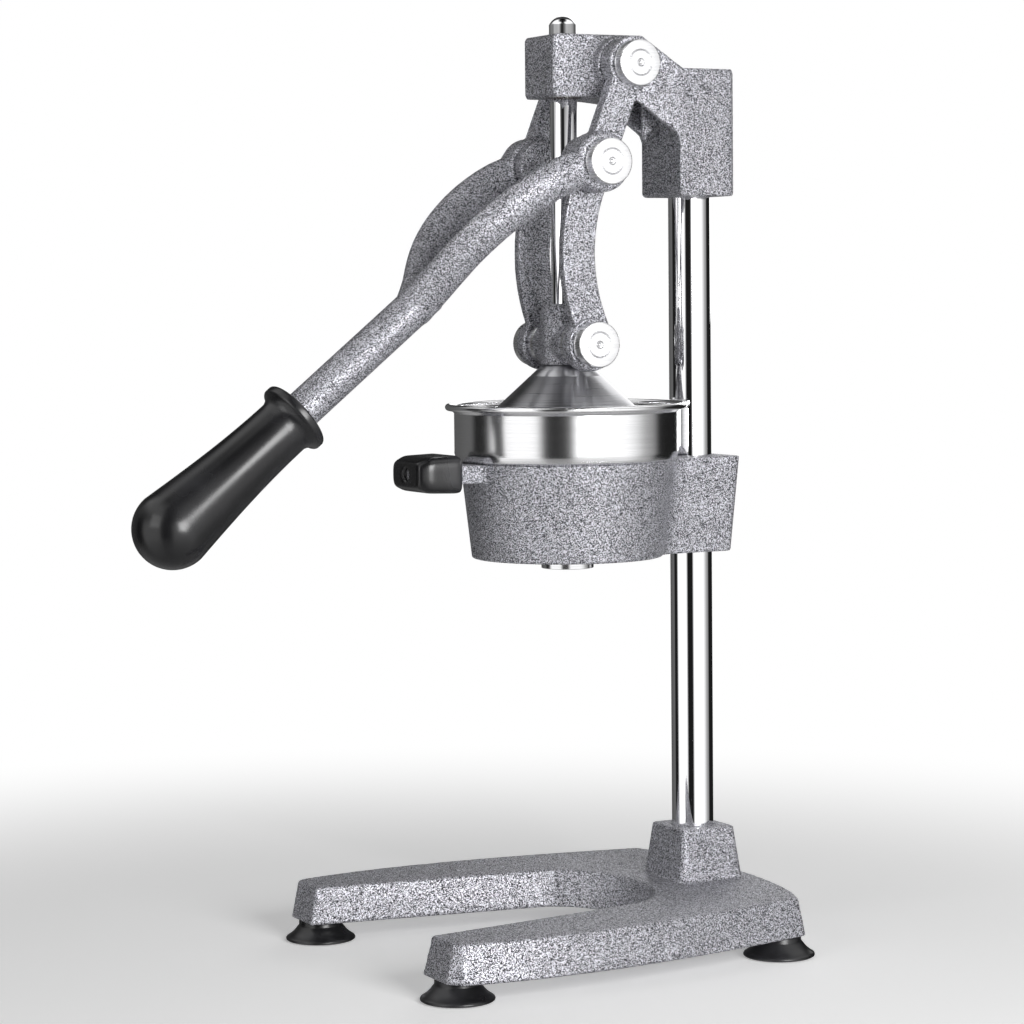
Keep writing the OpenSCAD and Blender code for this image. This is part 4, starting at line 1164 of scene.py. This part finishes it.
SOFT_HEIGHT = ((0.0, 0.26), (0.5, 0.31), (0.64, 0.19), (0.8, 0.06), (1.0, 0.04))
SOFT_AROUND = ((0.0, 0.4), (0.22, 0.1), (0.30, 0.4), (0.40, 1.0), (0.8, 1.0), (0.92, 0.6),
               (1.0, 0.4))


@dataclass
class Studio:
    """The floor, the surroundings, the lamps and the camera.

    Attributes:
        eye: Place of the camera, in metres.
        heading: Compass turn of the camera, in degrees.
        dip: How far it looks down, in degrees.
        roll: Its roll, in degrees.
        lens: Its focal length on a 36 mm sensor, in millimetres.
        mirror_level: How bright the surroundings are in the metal.
    """

    eye: tuple[float, float, float] = (1.36568, -0.68347, 0.33892)
    heading: float = 62.304
    dip: float = 4.18
    roll: float = -0.595
    lens: float = 107.0
    mirror_level: float = 1.15

    def build(self) -> None:
        """Set up the studio."""
        self.build_camera()
        self.build_world()
        self.build_floor()
        self.build_lamps()

    def build_camera(self) -> None:
        """Set the camera at the photograph's angle."""
        a, p, roll = (math.radians(v) for v in (self.heading, self.dip, self.roll))
        back = Vector((math.sin(a) * math.cos(p), -math.cos(a) * math.cos(p), math.sin(p)))
        right = Vector((math.cos(a), math.sin(a), 0))
        up = back.cross(right)
        side = right * math.cos(roll) + up * math.sin(roll)
        top = up * math.cos(roll) - right * math.sin(roll)
        data = bpy.data.cameras.new("studio_camera")
        data.lens, data.sensor_width, data.clip_start, data.clip_end = self.lens, 36.0, 0.05, 50.0
        camera = bpy.data.objects.new("studio_camera", data)
        bpy.context.scene.collection.objects.link(camera)
        turn = Matrix((side, top, back)).transposed()
        camera.matrix_world = Matrix.Translation(self.eye) @ turn.to_4x4()
        bpy.context.scene.camera = camera

    def build_world(self) -> None:
        """Make the white surroundings, with soft boxes and dark flags for the metal."""
        world = bpy.data.worlds.new("studio_world")
        bpy.context.scene.world = world
        world.use_nodes = True
        kit = Nodes(world.node_tree)
        world.node_tree.nodes.clear()
        way = kit.add("ShaderNodeTexCoord").outputs["Generated"]
        part = kit.add("ShaderNodeSeparateXYZ", i0=way).outputs
        angle = kit.math("ARCTAN2", part["Y"], part["X"])
        start = math.radians(self.heading - 90)
        turn = kit.math("DIVIDE", kit.math("SUBTRACT", angle, start), 2 * math.pi)
        around = kit.math("FRACT", kit.math("ADD", turn, 1.5))
        height = kit.math("ADD", kit.math("MULTIPLY", part["Z"], 0.5), 0.5)
        bands, sides = kit.ramp(around, greys(*BANDS)), kit.ramp(around, greys(*SIDES))
        above, lift = kit.ramp(height, greys(*ABOVE)), kit.ramp(height, greys(*LIFT))
        below = kit.math("LESS_THAN", part["Z"], 0.0)
        high = kit.add("ShaderNodeVectorMath", operation="SCALE", i0=above)
        kit.join(kit.math("MAXIMUM", sides, below), high.inputs["Scale"])
        mirror = kit.add("ShaderNodeVectorMath", operation="SCALE",
                         i0=kit.mixed(lift, bands, high.outputs[0]))
        mirror.inputs["Scale"].default_value = self.mirror_level
        soft = kit.math("MULTIPLY", kit.ramp(height, greys(*SOFT_HEIGHT)),
                        kit.ramp(around, greys(*SOFT_AROUND)))
        path = kit.add("ShaderNodeLightPath").outputs
        shown = kit.mixed(path["Is Glossy Ray"], soft, mirror.outputs[0])
        seen = kit.mixed(path["Is Camera Ray"], shown, (1.0, 1.0, 1.0))
        light = kit.add("ShaderNodeBackground", Strength=1.0)
        kit.join(seen, light.inputs["Color"])
        out = kit.add("ShaderNodeOutputWorld")
        kit.join(light.outputs[0], out.inputs["Surface"])

    def build_floor(self) -> None:
        """Make the pale floor, which keeps the press's shadow and fades into the white."""
        clear_selection()
        bpy.ops.mesh.primitive_circle_add(vertices=96, radius=1.3, fill_type="NGON",
                                          location=(0, 0, -0.0005))
        floor = bpy.context.object
        floor.name = "studio_floor"
        material = bpy.data.materials.new("studio_floor")
        material.use_nodes = True
        kit = Nodes(material.node_tree)
        material.node_tree.nodes.clear()
        place = kit.add("ShaderNodeTexCoord").outputs["Object"]
        reach = kit.add("ShaderNodeVectorMath", operation="LENGTH", i0=place).outputs["Value"]
        fade = kit.add("ShaderNodeMapRange", interpolation_type="SMOOTHSTEP", Value=reach,
                       From_Min=0.25, From_Max=0.75, To_Min=0.0, To_Max=1.0).outputs[0]
        path = kit.add("ShaderNodeLightPath").outputs
        paper = kit.add("ShaderNodeBsdfDiffuse", Color=(0.92, 0.92, 0.92, 1.0)).outputs[0]
        glow = kit.add("ShaderNodeEmission", Color=(1.0, 1.0, 1.0, 1.0), Strength=0.32).outputs[0]
        lit = kit.add("ShaderNodeAddShader", i0=paper, i1=glow).outputs[0]
        white = kit.add("ShaderNodeEmission", Color=(1.0, 1.0, 1.0, 1.0), Strength=1.0).outputs[0]
        seen = kit.add("ShaderNodeMixShader", i0=fade, i1=lit, i2=white).outputs[0]
        clear = kit.add("ShaderNodeBsdfTransparent").outputs[0]
        mirrored = kit.add("ShaderNodeMixShader", i0=path["Is Glossy Ray"], i1=paper,
                           i2=clear).outputs[0]
        shown = kit.add("ShaderNodeMixShader", i0=path["Is Camera Ray"], i1=mirrored,
                        i2=seen).outputs[0]
        out = kit.add("ShaderNodeOutputMaterial")
        kit.join(shown, out.inputs["Surface"])
        floor.data.materials.append(material)

    def build_lamps(self) -> None:
        """Hang the soft boxes."""
        self.soft_box("key_box", (1.35, 0.08, 0.50), 0.6, 15.0)
        self.soft_box("front_box", (0.35, -1.3, 0.75), 0.7, 2.6)
        self.soft_box("back_box", (-0.9, 0.9, 0.7), 0.8, 3.0)

    def soft_box(self, name: str, place: tuple[float, float, float], width: float,
                 power: float) -> None:
        """Hang one soft box that faces the press.

        Args:
            name: The lamp's name.
            place: Where it hangs, in metres.
            width: Its width and height, in metres.
            power: Its power, in watts.
        """
        data = bpy.data.lights.new(name, "AREA")
        data.size, data.energy = width, power
        lamp = bpy.data.objects.new(name, data)
        bpy.context.scene.collection.objects.link(lamp)
        lamp.location = place
        aim = Vector((0, 0, 0.25)) - Vector(place)
        lamp.rotation_mode = "QUATERNION"
        lamp.rotation_quaternion = aim.to_track_quat("-Z", "Y")


def main() -> None:
    """Load the frame, build the press piece by piece and set the studio."""
    logging.basicConfig(level=logging.INFO, format="%(name)s %(message)s")
    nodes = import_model()["nodes"]
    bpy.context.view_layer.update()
    parts: list[SubAssembly] = [
        Stand(nodes), Head(nodes), Bracket(nodes), JuiceSet(nodes), PivotPin(nodes),
        PivotPin(nodes, "lever", "mid_pin"), PivotPin(nodes, "ram", "lower_pin"),
        Lever(nodes, "lever"), Links(nodes), Ram(nodes, "ram")]
    for part in parts:
        part.build()
    Studio().build()
    bpy.context.scene.view_settings.view_transform = "Standard"


if __name__ == "__main__":
    main()
